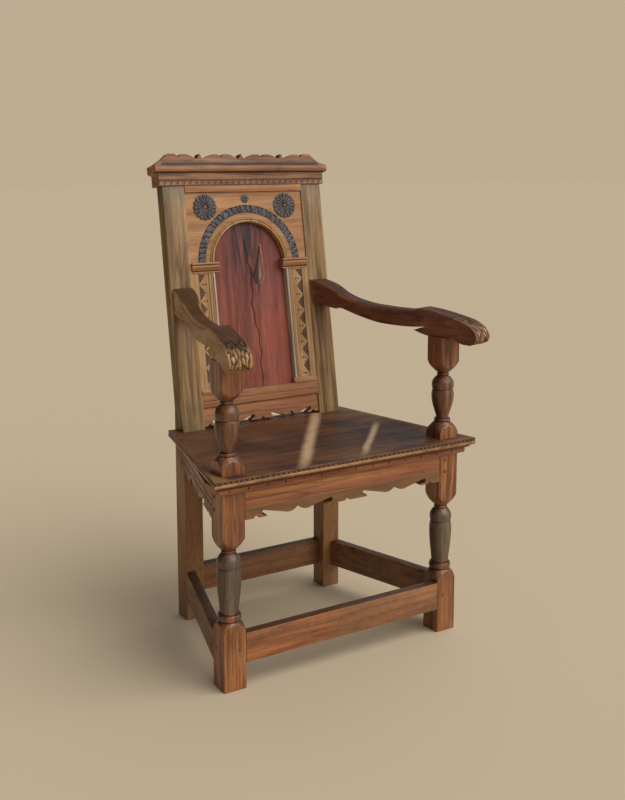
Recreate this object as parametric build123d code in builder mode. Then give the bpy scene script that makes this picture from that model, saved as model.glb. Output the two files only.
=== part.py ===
from build123d import *
import os
from math import atan2, cos, hypot, pi, radians, sin, tan
from typing import Callable, NamedTuple

os.makedirs("parts", exist_ok=True)

# A joined oak armchair: two turned front posts and two raked back posts, held by
# mortised and pegged rails and stretchers, with a boarded seat, an arcaded panel
# back, a moulded crest over the posts and two shaped arms.
#
# Millimetres and degrees. The chair stands on z = 0, faces -Y, and its origin is
# the middle of its bounding box on the floor. "left" is -X, "right" is +X.

# --------------------------------------------------------------------------
# Driving dimensions
# --------------------------------------------------------------------------

# The frame in plan and elevation
front_width = 582.0  # over the outer faces of the front posts
rear_width = 415.0  # over the outer faces of the back posts
frame_depth = 352.0  # front face of the front posts to front face of the back posts
seat_height = 445.0  # floor to the top of the seat board
back_rake = 9.5  # lean of the back above the seat

# Fits
joint_clearance = 0.2  # tenon cheeks and ends in their mortises
groove_clearance = 0.3  # panel edges in their grooves
peg_clearance = 0.15  # pegs in their bores
notch_clearance = 0.5  # seat board round the posts
planting_clearance = 0.3  # planted pieces beside one another

# Front posts: square blocks with a turned vase between them
front_post_size = 50.0
foot_block_height = 130.0
lower_shoulder_height = 12.0
lower_ring_height = 15.0
lower_vase_height = 95.0
lower_bulb_height = 31.0
lower_neck_height = 5.0
lower_cap_height = 21.0
seat_block_above = 20.0  # square block standing above the seat
upper_shoulder_height = 15.0
upper_ring_height = 7.0
upper_vase_height = 64.0
upper_bulb_height = 32.0
upper_neck_height = 5.0
upper_cap_height = 28.0
arm_underside_rise = 224.0  # seat to the top of the arm block
turning_sides = 24  # flats round a turned stretch, which keep it light
shoulder_bulge = 4.0
ring_radius = 24.0
ring_bulge = 2.5
quirk_height = 0.6  # slope of the step from a ring in to the foot of its vase
vase_foot_radius = 16.0
waist_radius = 19.5
waist_share = 0.36  # how far up the vase its hollow foot ends
vase_radius = 24.5
swell_share = 0.84  # how far up the vase it is widest
swell_bulge = 0.9
vase_groove_depth = 3.0  # nick between the vase and the bulb
bulb_radius = 24.5
bulb_top_radius = 19.0
bulb_share = 0.8  # how far up the bulb it turns in to the neck
lower_neck_radius = 13.0
upper_neck_radius = 11.5
cap_bulge = 3.5

# Back posts
rear_leg_width = 44.0
rear_leg_depth = 46.0
back_post_width = 54.0  # above the seat
back_post_depth_at_seat = 38.0
back_post_depth_at_crest = 30.0

# Seat board: a square upper band, a bead and a cove, one under the other
seat_side_overhang = 29.0  # board outside the front posts
seat_rear_side_overhang = 22.0  # board outside the back posts
seat_front_overhang = 26.0
seat_rear_depth = 36.0  # board behind the front face of the back posts
seat_housing_depth = 1.0  # sunk strip of the board between the back posts
seat_band_height = 7.5
seat_bead_height = 7.5
seat_cove_height = 7.0
seat_bead_inset = 1.5
seat_cove_inset = 5.0

# Bed moulding under the seat board
bed_height = 12.0
bed_projection = 11.0

# Seat rails
seat_rail_height = 73.0
seat_rail_thickness = 24.0
seat_rail_tenon_height = 50.0
seat_rail_tenon_top = 14.0  # rail top down to the tenon
rail_line_depth = 1.5
rail_upper_line = 34.0  # rail top down to the first scratched line
rail_lower_line = 48.0  # rail top down to the second
apron_bay_half = 70.0  # middle of a bay to its hook tips
apron_rise = 14.0  # height of the sawn bays
apron_notch = 12.0  # width of the nick in each pendant
apron_hook_share = 0.2  # hooked slot behind each tip, over half the bay
apron_lobe_share = 0.44  # outer end of the lobes, over half the bay
apron_lobe_rise = 0.16  # lobes over the rise of the bay
apron_cusp_rise = 0.75  # middle cusp over the rise of the bay

# Stretchers
stretcher_bottom = 54.0
stretcher_height = 62.0
stretcher_thickness = 22.0
stretcher_tenon_height = 40.0

# Tenons and pegs
tenon_thickness = 9.0
front_tenon_length = 30.0
side_tenon_length = 28.0
rear_tenon_length = 22.0
peg_radius = 4.3  # to the corners
peg_length = 26.0
peg_proud = 0.8
seat_rail_peg_spacing = 26.0
peg_sides = 4  # riven pegs, left square
peg_turn = 45.0  # their flats level and upright

# Back frame, measured up the slope of the back from the seat
lower_rail_gap = 0.7  # seat board to the lowest corner of the lower rail
lower_rail_top = 79.0
lower_rail_step = 50.0  # height of the step in its face
lower_rail_line = 61.0  # height of its scratched line
lower_rail_setback = 4.0  # face below the step
lower_bay_half = 46.0
lower_bay_rise = 14.0
back_rail_depth = 26.0
top_rail_bottom = 538.0
crest_bottom = 554.0
back_tenon_length = 30.0
back_tenon_thickness = 9.0
lower_rail_tenon_height = 44.0
top_rail_tenon_height = 12.0
top_rail_projection = 2.0

# Back panel
panel_setback = 15.0  # panel face behind the face of the back posts
panel_thickness = 9.0
groove_depth = 7.0

# Arcade planted on the panel
pilaster_inner = 95.0  # from the middle of the back
pilaster_bottom = 91.0
pilaster_setback = 1.0
band_inner = 112.0  # sunk carved band of a pilaster
band_outer = 135.0
band_depth = 2.0
band_margin = 6.0
base_inner = 90.0
base_projection = 3.0
impost_bottom = 354.0
impost_top = 377.0
impost_inner = 84.0
impost_projection = 7.0
impost_face = 10.0  # height of the square upper part of the impost
arch_centre = 374.0
arch_bead_inner = 93.0
arch_bead_outer = 103.0
archivolt_inner = 114.0
archivolt_outer = 133.0
archivolt_depth = 1.5
spandrel_setback = 3.0
rosette_across = 105.0  # middle of the back to the middle of a rosette
rosette_height = 504.0
rosette_radius = 30.0
rosette_nick_radius = 25.0
rosette_tip_drop = 1.2  # how far the corners of a petal's tip fall short of it
rosette_petals = 16
rosette_thickness = 4.0
rosette_button_radius = 6.0
rosette_button_height = 2.0
boss_radius = 10.0
boss_thickness = 4.0
boss_cross_width = 3.0
boss_cross_depth = 1.5

# Crest
crest_top = 627.0
crest_half_width = 216.0
crest_end_half_width = 225.0  # over the returned mouldings
crest_shoulder_half_width = 186.0
crest_depth = 40.0
crest_band_projection = 4.0
crest_band_top = 583.0
crest_torus_top = 600.0
crest_torus_projection = 12.0
crest_torus_step = 2.0  # fillets above and below the torus, proud of the band
crest_cove_top = 610.0
crest_board_setback = 2.0
crest_board_thickness = 22.0
crest_pitch = 107.5  # peak to peak along the sawn top
crest_shoulder_share = 1.54  # outermost notch, in pitches from the middle
crest_peak_half = 7.0
crest_valley_depth = 10.5
crest_notch_depth = 6.5
crest_lobe_drop = 1.5  # lobes below the peaks
crest_return_rise = 3.0
crest_tenon_height = 26.0
crest_tenon_width = 28.0
crest_tenon_thickness = 12.0

# Arms
arm_rear_rise = 290.0  # seat to the middle of the arm at the back post
arm_rear_depth = 56.0
arm_width = 47.0
arm_length = 492.0  # back post to the tip of the hand
arm_waist_width = 41.0
arm_waist_run = 50.0  # length over which the arm narrows
arm_shoulder_run = 74.0  # raised shoulder at the back post
arm_shoulder_drop = 21.0
arm_sag_run = 235.0  # back post to the lowest part of the rest
arm_rest_height = 50.0  # arm underside over the front post to the rest's lowest part
arm_belly_height = 12.0  # the same, to the underside of the rest
arm_chin_run = 78.0  # bracket cut under the arm at the back post
arm_chin_drop = 6.5
arm_chin_step = 9.0
arm_chin_back = 45.0
arm_tenon_height = 36.0
arm_tenon_thickness = 12.0
arm_tenon_length = 24.0
hand_tenon_width = 22.0
hand_tenon_height = 26.0
hand_height = 58.0  # arm underside to the cusp where the hand begins
hand_cusp_setback = 57.0  # that cusp, behind the middle of the front post
hand_cusp_run = 17.0
hand_cusp_rise = 6.0
hand_brow_reach = 42.0  # top of the hand ahead of the middle of the front post
hand_brow_height = 46.5
hand_knuckle_setback = 14.0  # from the tip of the hand
hand_knuckle_height = 33.0
hand_tip_height = 12.0
hand_toe_setback = 20.0
hand_toe_drop = 9.0
hand_nick = 5.0  # small notch between the toe and the front post
hand_bearing_half = 32.0  # half the flat that lies on the front post
hand_hook_reach = 36.0  # tip that points back under the arm, from that flat
hand_hook_height = 8.0
hand_gullet_height = 18.5  # inner end of the slot above that tip
arm_peg_length = 35.0

# --------------------------------------------------------------------------
# Derived planes and places
# --------------------------------------------------------------------------

rake = radians(back_rake)
lower_rail_bottom = (lower_rail_gap + back_rail_depth * sin(rake)) / cos(rake)
seat_board_thickness = seat_band_height + seat_bead_height + seat_cove_height
seat_underside = seat_height - seat_board_thickness
seat_rail_bottom = seat_underside - seat_rail_height
seat_front_width = front_width + 2 * seat_side_overhang
seat_rear_width = rear_width + 2 * seat_rear_side_overhang
front_post_x = (front_width - front_post_size) / 2
front_post_inner = front_width / 2 - front_post_size
rear_leg_inner = rear_width / 2 - rear_leg_width
back_post_inner = rear_width / 2 - back_post_width
back_post_x = (rear_width - back_post_width) / 2
boss_height = (arch_centre + archivolt_outer + top_rail_bottom) / 2

# How far the arms reach before the front posts, and the crest behind them
arm_underside = seat_height + arm_underside_rise
arm_rear_height = seat_height + arm_rear_rise
arm_rear_across = back_post_x
arm_rear_u = arm_rear_rise / cos(rake)
arm_rear_y = frame_depth + arm_rear_u * sin(rake)
arm_flare = atan2(front_post_x - arm_rear_across, arm_rear_y - front_post_size / 2)
reach_ahead = arm_length * cos(arm_flare) + arm_width / 2 * sin(arm_flare) - arm_rear_y
crest_board_back = crest_board_setback + crest_board_thickness
crest_back = crest_depth - crest_band_projection
reach_behind = frame_depth + max(
    crest_top * sin(rake) + crest_board_back * cos(rake),
    crest_cove_top * sin(rake) + crest_back * cos(rake),
)

# Depths from the front of the chair to its back
front_y = (reach_ahead - reach_behind) / 2
front_post_y = front_y + front_post_size / 2
front_post_back = front_y + front_post_size
back_y = front_y + frame_depth
rear_leg_back = back_y + rear_leg_depth

# The back's own plane: x across, y up the slope from the seat, z towards the sitter
back_plane = Plane(origin=(0, back_y, seat_height), x_dir=(1, 0, 0), z_dir=(0, -cos(rake), sin(rake)))


class Tenon(NamedTuple):
    """A tenon, as the two corners of its block in the given plane."""

    rail: str
    post: str
    plane: Plane
    low: tuple
    high: tuple


class Peg(NamedTuple):
    """A peg through a joint, from its proud end inwards."""

    group: str
    pieces: tuple
    start: Vector
    direction: Vector
    length: float


tenons = []
pegs = []
sides = {"left": -1, "right": 1}


def ordered(a: float, b: float) -> tuple:
    """Return two numbers with the lower first."""
    return (min(a, b), max(a, b))


def block(plane: Plane, low: tuple, high: tuple, mode: Mode = Mode.ADD, grow: float = 0.0):
    """Add or cut a square-cornered block, given by two corners in a plane."""
    size = [b - a + 2 * grow for a, b in zip(low, high)]
    middle = [(a + b) / 2 for a, b in zip(low, high)]
    with Locations(plane.location * Location(tuple(middle))):
        Box(*size, mode=mode)


def peg_plane(peg: Peg) -> Plane:
    """Return the plane across a peg at its proud end."""
    return Plane(origin=peg.start, z_dir=peg.direction)


def cut_bores(piece: str):
    """Bore the holes of every peg that enters the named piece."""
    for peg in pegs:
        if piece in peg.pieces:
            with BuildSketch(peg_plane(peg)) as bore:
                RegularPolygon(peg_radius + peg_clearance, peg_sides, rotation=peg_turn)
            extrude(bore.sketch, amount=peg.length, mode=Mode.SUBTRACT)


def cut_mortises(post: str):
    """Cut the mortises of every tenon that enters the named post."""
    for tenon in tenons:
        if tenon.post == post:
            block(tenon.plane, tenon.low, tenon.high, Mode.SUBTRACT, joint_clearance)


def add_tenons(rail: str):
    """Add the named rail's tenons."""
    for tenon in tenons:
        if tenon.rail == rail:
            block(tenon.plane, tenon.low, tenon.high)


def finish_piece(piece: BuildPart, name: str):
    """Name a finished piece and write its STEP file."""
    piece.part.label = name
    export_step(piece.part, f"parts/{name}.step")


# --------------------------------------------------------------------------
# Sides of the frame: the line from front post to back post
# --------------------------------------------------------------------------

side_run = frame_depth - front_post_size
side_fall = (front_width - rear_width) / 2
side_angle = atan2(side_fall, side_run)
side_length = hypot(side_run, side_fall)


def side_line(y: float, inset: float = 0.0) -> float:
    """Return how far from the middle a side rail's face lies, inset square to it."""
    share = (y - front_post_back) / side_run
    return front_width / 2 - share * side_fall - inset / cos(side_angle)


def side_plane(side: int) -> Plane:
    """Return the outer face of a side rail, x from front to back and y up."""
    origin = (side * front_width / 2, front_post_back, 0)
    along = (-side * sin(side_angle), cos(side_angle), 0)
    return Plane(origin=origin, x_dir=along, z_dir=(cos(side_angle), side * sin(side_angle), 0))


# --------------------------------------------------------------------------
# Joints of the lower frame
# --------------------------------------------------------------------------


def lay_out_level(kind: str, thickness: float, low_z: float, high_z: float, group: str, rows: tuple):
    """Lay out the eight tenons of four rails at one level, and the pegs in them."""
    cheek = (thickness - tenon_thickness) / 2
    front_cheeks = (front_y + cheek, front_y + cheek + tenon_thickness)
    rear_cheeks = (rear_leg_back - cheek - tenon_thickness, rear_leg_back - cheek)
    for name, side in sides.items():
        front_post, rear_post = f"front_post_{name}", f"rear_post_{name}"

        front_x = ordered(side * front_post_inner, side * (front_post_inner + front_tenon_length))
        rear_x = ordered(side * rear_leg_inner, side * (rear_leg_inner + rear_tenon_length))
        across = (
            (f"front_{kind}", front_post, front_x, front_cheeks, front_y, 1, front_tenon_length),
            (f"rear_{kind}", rear_post, rear_x, rear_cheeks, rear_leg_back, -1, rear_tenon_length),
        )
        for rail, post, span_x, span_y, face_y, inward, length in across:
            low = (span_x[0], span_y[0], low_z)
            high = (span_x[1], span_y[1], high_z)
            tenons.append(Tenon(rail, post, Plane.XY, low, high))
            for z in rows:
                start = Vector(sum(span_x) / 2, face_y - inward * peg_proud, z)
                pegs.append(Peg(group, (rail, post), start, Vector(0, inward, 0), peg_length))

        ends = (
            (front_post, front_post_back, -side_tenon_length, front_width / 2),
            (rear_post, back_y, side_tenon_length, rear_width / 2),
        )
        for post, shoulder, reach, face_x in ends:
            middle = side * side_line(shoulder, thickness / 2)
            span_y = ordered(shoulder, shoulder + reach)
            low = (middle - tenon_thickness / 2, span_y[0], low_z)
            high = (middle + tenon_thickness / 2, span_y[1], high_z)
            rail = f"side_{kind}_{name}"
            tenons.append(Tenon(rail, post, Plane.XY, low, high))
            for z in rows:
                start = Vector(side * (face_x + peg_proud), sum(span_y) / 2, z)
                pegs.append(Peg(group, (rail, post), start, Vector(-side, 0, 0), peg_length))


seat_tenon_top = seat_underside - seat_rail_tenon_top
seat_tenon_bottom = seat_tenon_top - seat_rail_tenon_height
seat_tenon_middle = (seat_tenon_top + seat_tenon_bottom) / 2
lay_out_level(
    "seat_rail",
    seat_rail_thickness,
    seat_tenon_bottom,
    seat_tenon_top,
    "seat_rail_pegs",
    (seat_tenon_middle - seat_rail_peg_spacing / 2, seat_tenon_middle + seat_rail_peg_spacing / 2),
)

stretcher_middle = stretcher_bottom + stretcher_height / 2
lay_out_level(
    "stretcher",
    stretcher_thickness,
    stretcher_middle - stretcher_tenon_height / 2,
    stretcher_middle + stretcher_tenon_height / 2,
    "stretcher_pegs",
    (stretcher_middle,),
)

# --------------------------------------------------------------------------
# Joints of the back frame and the arms
# --------------------------------------------------------------------------


def back_post_depth(height: float) -> float:
    """Return the depth of a back post, square to its face, at a height up the slope."""
    taper = (back_post_depth_at_seat - back_post_depth_at_crest) / crest_bottom
    return back_post_depth_at_seat - taper * height


def back_point(x: float, height: float, forward: float) -> Vector:
    """Return the point that lies so far across, up the slope and before the back's face."""
    return back_plane.from_local_coords(Vector(x, height, forward))


def arm_plane(side: int) -> Plane:
    """Return the upright plane down the middle of an arm, x forwards and y up."""
    origin = (side * arm_rear_across, front_y + arm_rear_y, 0)
    along = (side * sin(arm_flare), -cos(arm_flare), 0)
    return Plane(origin=origin, x_dir=along, z_dir=(-cos(arm_flare), -side * sin(arm_flare), 0))


lower_rail_tenon_low = (lower_rail_bottom + lower_rail_top - lower_rail_tenon_height) / 2
top_rail_middle = (top_rail_bottom + crest_bottom) / 2
back_cheek = (back_rail_depth - back_tenon_thickness) / 2
crest_cheek = (back_post_depth_at_crest - crest_tenon_thickness) / 2

for side_name, side in sides.items():
    rear_post = f"rear_post_{side_name}"
    across_back = ordered(side * back_post_inner, side * (back_post_inner + back_tenon_length))
    back_rails = (
        ("lower_back_rail", lower_rail_tenon_low, lower_rail_tenon_height, (1 / 4, 3 / 4)),
        ("top_back_rail", top_rail_middle - top_rail_tenon_height / 2, top_rail_tenon_height, (1 / 2,)),
    )
    for rail, bottom, height, shares in back_rails:
        low = (across_back[0], bottom, -back_cheek - back_tenon_thickness)
        high = (across_back[1], bottom + height, -back_cheek)
        tenons.append(Tenon(rail, rear_post, back_plane, low, high))
        for share in shares:
            level = bottom + share * height
            start = back_point(sum(across_back) / 2, level, -back_post_depth(level) - peg_proud)
            peg_depth = back_post_depth(level) - back_cheek + peg_proud
            pegs.append(Peg("back_pegs", (rail, rear_post), start, back_plane.z_dir, peg_depth))

    # Each back post ends in a tenon in the crest
    middle = side * back_post_x
    low = (middle - crest_tenon_width / 2, crest_bottom, -crest_cheek - crest_tenon_thickness)
    high = (middle + crest_tenon_width / 2, crest_bottom + crest_tenon_height, -crest_cheek)
    tenons.append(Tenon(rear_post, "crest_rail", back_plane, low, high))
    start = back_point(middle, crest_bottom + crest_tenon_height / 2, -crest_back - peg_proud)
    peg_depth = crest_back - crest_cheek + peg_proud
    pegs.append(Peg("back_pegs", (rear_post, "crest_rail"), start, back_plane.z_dir, peg_depth))

    # Each arm is tenoned into its back post and sits on a tenon of its front post
    arm = f"arm_{side_name}"
    middle = side * arm_rear_across
    low = (middle - arm_tenon_thickness / 2, arm_rear_u - arm_tenon_height / 2, -arm_tenon_length)
    high = (middle + arm_tenon_thickness / 2, arm_rear_u + arm_tenon_height / 2, 0)
    tenons.append(Tenon(arm, rear_post, back_plane, low, high))
    start = back_point(side * (rear_width / 2 + peg_proud), arm_rear_u, -arm_tenon_length / 2)
    pegs.append(Peg("arm_pegs", (arm, rear_post), start, Vector(-side, 0, 0), peg_length + peg_proud))

    half = hand_tenon_width / 2
    low = (side * front_post_x - half, front_post_y - half, arm_underside)
    high = (side * front_post_x + half, front_post_y + half, arm_underside + hand_tenon_height)
    tenons.append(Tenon(f"front_post_{side_name}", arm, Plane.XY, low, high))
    outward = -arm_plane(side).z_dir * side
    centre = Vector(side * front_post_x, front_post_y, arm_underside + hand_tenon_height / 2)
    start = centre + outward * (arm_width / 2 + peg_proud)
    pegs.append(Peg("arm_pegs", (arm, f"front_post_{side_name}"), start, -outward, arm_peg_length))


# --------------------------------------------------------------------------
# Front posts
# --------------------------------------------------------------------------

post_corner = front_post_size / 2 * 2**0.5 + 1.5  # clear of the square's corners


def round_stretch(start: tuple, end: tuple, bulge: float, flats: int) -> list:
    """Return points on a round stretch of a turning's profile, without its start.

    Args:
        start: Radius and height where the stretch begins.
        end: Radius and height where it ends.
        bulge: How far its middle stands out from its chord, negative for a hollow.
        flats: Number of equal flats that the stretch is worked in.
    """
    points = []
    for step in range(1, flats + 1):
        share = step / flats
        radius = start[0] + (end[0] - start[0]) * share + bulge * sin(pi * share)
        points.append((radius, start[1] + (end[1] - start[1]) * share))
    return points


def turning_profile(base: float, heights: tuple, neck_radius: float) -> list:
    """Return one turned length of a post: shoulder, ring, vase, bulb, neck and cap.

    Args:
        base: Height of the top of the square block below.
        heights: Heights of the six parts, from the bottom.
        neck_radius: Radius of the neck under the cap.

    Returns:
        Radius and height of each of its edges, from the block below to the one above.
    """
    shoulder, ring, vase, bulb, neck, cap = heights
    ring_bottom = base + shoulder
    vase_bottom = ring_bottom + ring
    bulb_bottom = vase_bottom + vase
    neck_bottom = bulb_bottom + bulb
    cap_bottom = neck_bottom + neck
    block_below = (post_corner, base)
    ring_foot = (ring_radius - ring_bulge, ring_bottom)
    ring_top = (ring_radius - ring_bulge, vase_bottom)
    vase_foot = (vase_foot_radius, vase_bottom + quirk_height)
    waist = (waist_radius, vase_bottom + vase * waist_share)
    widest = (vase_radius, vase_bottom + vase * swell_share)
    groove = (vase_radius - vase_groove_depth, bulb_bottom)
    bulb_top = (bulb_top_radius, bulb_bottom + bulb * bulb_share)
    bulb_bulge = bulb_radius - (groove[0] + bulb_top_radius) / 2
    neck_top = (neck_radius, cap_bottom)
    block_above = (post_corner, cap_bottom + cap)
    return [
        block_below,
        *round_stretch(block_below, ring_foot, shoulder_bulge, 2),
        *round_stretch(ring_foot, ring_top, ring_bulge, 3),
        vase_foot,
        waist,
        *round_stretch(waist, widest, swell_bulge, 2),
        groove,
        *round_stretch(groove, bulb_top, bulb_bulge, 3),
        (neck_radius, neck_bottom),
        neck_top,
        *round_stretch(neck_top, block_above, cap_bulge, 3),
    ]


lower_turning = (
    lower_shoulder_height,
    lower_ring_height,
    lower_vase_height,
    lower_bulb_height,
    lower_neck_height,
    lower_cap_height,
)
upper_turning = (
    upper_shoulder_height,
    upper_ring_height,
    upper_vase_height,
    upper_bulb_height,
    upper_neck_height,
    upper_cap_height,
)


def make_front_posts():
    """Make the front posts, square and turned, from the floor to their tenons in the arms."""
    middle = (-front_post_x, front_post_y)
    turnings = (
        turning_profile(foot_block_height, lower_turning, lower_neck_radius),
        turning_profile(seat_height + seat_block_above, upper_turning, upper_neck_radius),
    )
    with BuildPart() as post:
        for profile in turnings:
            for radius, height in profile:
                with BuildSketch(Plane.XY.offset(height)):
                    with Locations(middle):
                        RegularPolygon(radius, turning_sides)
            loft(ruled=True)
        with BuildSketch(Plane.XY):
            with Locations(middle):
                Rectangle(front_post_size, front_post_size)
        extrude(amount=arm_underside, mode=Mode.INTERSECT)
        levels = (0.0, *[turning[end][1] for turning in turnings for end in (0, -1)], arm_underside)
        for low, high in zip(levels[0::2], levels[1::2]):
            with BuildSketch(Plane.XY.offset(low)):
                with Locations(middle):
                    Rectangle(front_post_size, front_post_size)
            extrude(amount=high - low)
        add_tenons("front_post_left")
        cut_mortises("front_post_left")
        cut_bores("front_post_left")
    finish_piece(post, "front_post_left")
    with BuildPart() as twin:
        mirror(post.part, about=Plane.YZ)
    finish_piece(twin, "front_post_right")


# --------------------------------------------------------------------------
# Back posts
# --------------------------------------------------------------------------

# Where the upright back face of a leg meets the raked back face above it
knee_slope = sin(rake) + (back_post_depth_at_crest - back_post_depth_at_seat) / crest_bottom * cos(rake)
knee_height = (rear_leg_depth - back_post_depth_at_seat * cos(rake)) / knee_slope


def make_rear_post(name: str, side: int):
    """Make one back post: upright below the seat, raked and wider above it."""
    piece_name = f"rear_post_{name}"
    knee = back_point(0, knee_height, -back_post_depth(knee_height))
    top_front = back_point(0, crest_bottom, 0)
    top_back = back_point(0, crest_bottom, -back_post_depth_at_crest)
    with BuildPart() as post:
        with BuildSketch(Plane(origin=(side * back_post_x, 0, 0), x_dir=(0, 1, 0), z_dir=(1, 0, 0))):
            with BuildLine():
                Polyline(
                    (back_y, 0),
                    (rear_leg_back, 0),
                    (rear_leg_back, knee.Z),
                    (top_back.Y, top_back.Z),
                    (top_front.Y, top_front.Z),
                    (back_y, seat_height),
                    close=True,
                )
            make_face()
        extrude(amount=back_post_width / 2, both=True)
        step = ordered(side * back_post_inner, side * rear_leg_inner)
        shelf = seat_height - seat_housing_depth
        block(Plane.XY, (step[0], back_y, 0), (step[1], rear_leg_back, shelf), Mode.SUBTRACT)

        # Groove for the panel, from the lower rail to the top rail
        groove_low = lower_rail_top - groove_depth - groove_clearance
        groove_high = top_rail_bottom + groove_depth + groove_clearance
        groove_x = ordered(side * back_post_inner, side * (back_post_inner + groove_depth + groove_clearance))
        groove_back = -panel_setback - panel_thickness - groove_clearance
        groove_front = -panel_setback + groove_clearance
        block(
            back_plane,
            (groove_x[0], groove_low, groove_back),
            (groove_x[1], groove_high, groove_front),
            Mode.SUBTRACT,
        )
        add_tenons(piece_name)
        cut_mortises(piece_name)
        cut_bores(piece_name)
    finish_piece(post, piece_name)


# --------------------------------------------------------------------------
# Rails, stretchers and other boards with a moulded face
# --------------------------------------------------------------------------


def section_plane(face: Plane) -> Plane:
    """Return the plane across a board, x out of its face and y up it."""
    return Plane(origin=face.origin, x_dir=face.z_dir, z_dir=-face.x_dir)


def shape_board(face: Plane, section: Callable, elevation: Callable, reach: float, depth: float):
    """Run a section along a board's face and saw it to its outline.

    Args:
        face: The board's face, x along it and y up.
        section: Draws the closed section, x out of the face.
        elevation: Draws the closed outline on the face.
        reach: Half the length of the run before it is sawn.
        depth: More than the board's whole thickness, before and behind the face.
    """
    with BuildSketch(section_plane(face)) as run:
        with BuildLine():
            section()
        make_face()
    extrude(run.sketch, amount=reach, both=True)
    with BuildSketch(face) as outline:
        with BuildLine():
            elevation()
        make_face()
    extrude(outline.sketch, amount=depth, both=True, mode=Mode.INTERSECT)


def draw_pendant(start: float, end: float, bottom: float, rise: float, nick: float):
    """Draw the straight foot of a pendant with a nick in its middle."""
    middle = (start + end) / 2
    Polyline(
        (start, bottom),
        (middle - nick / 2, bottom),
        (middle - nick / 8, bottom + rise * 0.4),
        (middle + nick / 2, bottom),
        (end, bottom),
    )


def draw_bay(middle: float, half: float, bottom: float, rise: float):
    """Draw one sawn bay between two pendants, from left to right.

    A hook at each end curls in over the bay, and two shallow lobes meet at a cusp in
    its middle.
    """
    hook = half * apron_hook_share
    cusp = (middle, bottom + rise * apron_cusp_rise)
    low = bottom + rise * apron_lobe_rise
    for turn in (-1, 1):
        tip = (middle + turn * half, bottom)
        slot = (middle + turn * (half + hook * 0.2), bottom + rise * 0.3)
        root = (middle + turn * (half + hook * 0.93), bottom + rise * 0.61)
        crown = (middle + turn * (half + hook * 0.7), bottom + rise)
        lobe = (middle + turn * half * apron_lobe_share, low)
        Line(tip, slot)
        ThreePointArc(slot, root, crown)
        Line(crown, lobe)
        ThreePointArc(lobe, (middle + turn * half * apron_lobe_rise, low), cusp)


def draw_scalloped_outline(left: float, right: float, bottom: float, top: float, bays: int, half: float, rise: float):
    """Draw a board's outline, square at the top and ends and sawn along the bottom."""
    span = (right - left) / bays
    edges = [left]
    for bay in range(bays):
        middle = left + span * (bay + 0.5)
        draw_bay(middle, half, bottom, rise)
        edges += [middle - half, middle + half]
    edges.append(right)
    for start, end in zip(edges[0::2], edges[1::2]):
        draw_pendant(start, end, bottom, rise, min(apron_notch, (end - start) / 2))
    Polyline((right, bottom), (right, top), (left, top), (left, bottom))


def draw_seat_rail_section(inward: int):
    """Draw a seat rail's section: a flat face with two scratched lines."""
    upper = seat_underside - rail_upper_line
    lower = seat_underside - rail_lower_line
    Polyline(
        (inward * seat_rail_thickness, seat_rail_bottom),
        (0, seat_rail_bottom),
        (0, lower - rail_line_depth),
        (inward * rail_line_depth, lower),
        (0, lower + rail_line_depth),
        (0, upper - rail_line_depth),
        (inward * rail_line_depth, upper),
        (0, upper + rail_line_depth),
        (0, seat_underside),
        (inward * seat_rail_thickness, seat_underside),
        close=True,
    )


def make_front_seat_rail():
    """Make the front seat rail, with two sawn bays along its lower edge."""
    face = Plane(origin=(0, front_y, 0), x_dir=(1, 0, 0), z_dir=(0, -1, 0))
    with BuildPart() as rail:
        shape_board(
            face,
            lambda: draw_seat_rail_section(-1),
            lambda: draw_scalloped_outline(
                -front_post_inner,
                front_post_inner,
                seat_rail_bottom,
                seat_underside,
                2,
                apron_bay_half,
                apron_rise,
            ),
            front_width,
            seat_rail_thickness * 2,
        )
        add_tenons("front_seat_rail")
        cut_bores("front_seat_rail")
    finish_piece(rail, "front_seat_rail")


def make_side_seat_rail(name: str, side: int):
    """Make one side seat rail, with one sawn bay, cut to the splay of the frame."""
    piece_name = f"side_seat_rail_{name}"
    with BuildPart() as rail:
        shape_board(
            side_plane(side),
            lambda: draw_seat_rail_section(-side),
            lambda: draw_scalloped_outline(
                -seat_rail_thickness,
                side_length + seat_rail_thickness,
                seat_rail_bottom,
                seat_underside,
                1,
                apron_bay_half,
                apron_rise,
            ),
            frame_depth,
            seat_rail_thickness * 2,
        )
        trim_between_posts(seat_underside)
        add_tenons(piece_name)
        cut_bores(piece_name)
    finish_piece(rail, piece_name)


def trim_between_posts(top: float):
    """Keep what lies between the back of the front posts and the face of the back posts."""
    with BuildSketch(Plane.XY) as bay:
        with Locations((0, (front_post_back + back_y) / 2)):
            Rectangle(front_width * 2, side_run)
    extrude(bay.sketch, amount=top, mode=Mode.INTERSECT)


def make_rear_seat_rail():
    """Make the plain rear seat rail, flush with the back of the legs."""
    with BuildPart() as rail:
        block(
            Plane.XY,
            (-rear_leg_inner, rear_leg_back - seat_rail_thickness, seat_rail_bottom),
            (rear_leg_inner, rear_leg_back, seat_underside),
        )
        add_tenons("rear_seat_rail")
        cut_bores("rear_seat_rail")
    finish_piece(rail, "rear_seat_rail")


def make_cross_stretcher(piece_name: str, half: float, low_y: float):
    """Make the front or the rear stretcher."""
    with BuildPart() as stretcher:
        block(
            Plane.XY,
            (-half, low_y, stretcher_bottom),
            (half, low_y + stretcher_thickness, stretcher_bottom + stretcher_height),
        )
        add_tenons(piece_name)
        cut_bores(piece_name)
    finish_piece(stretcher, piece_name)


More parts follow.
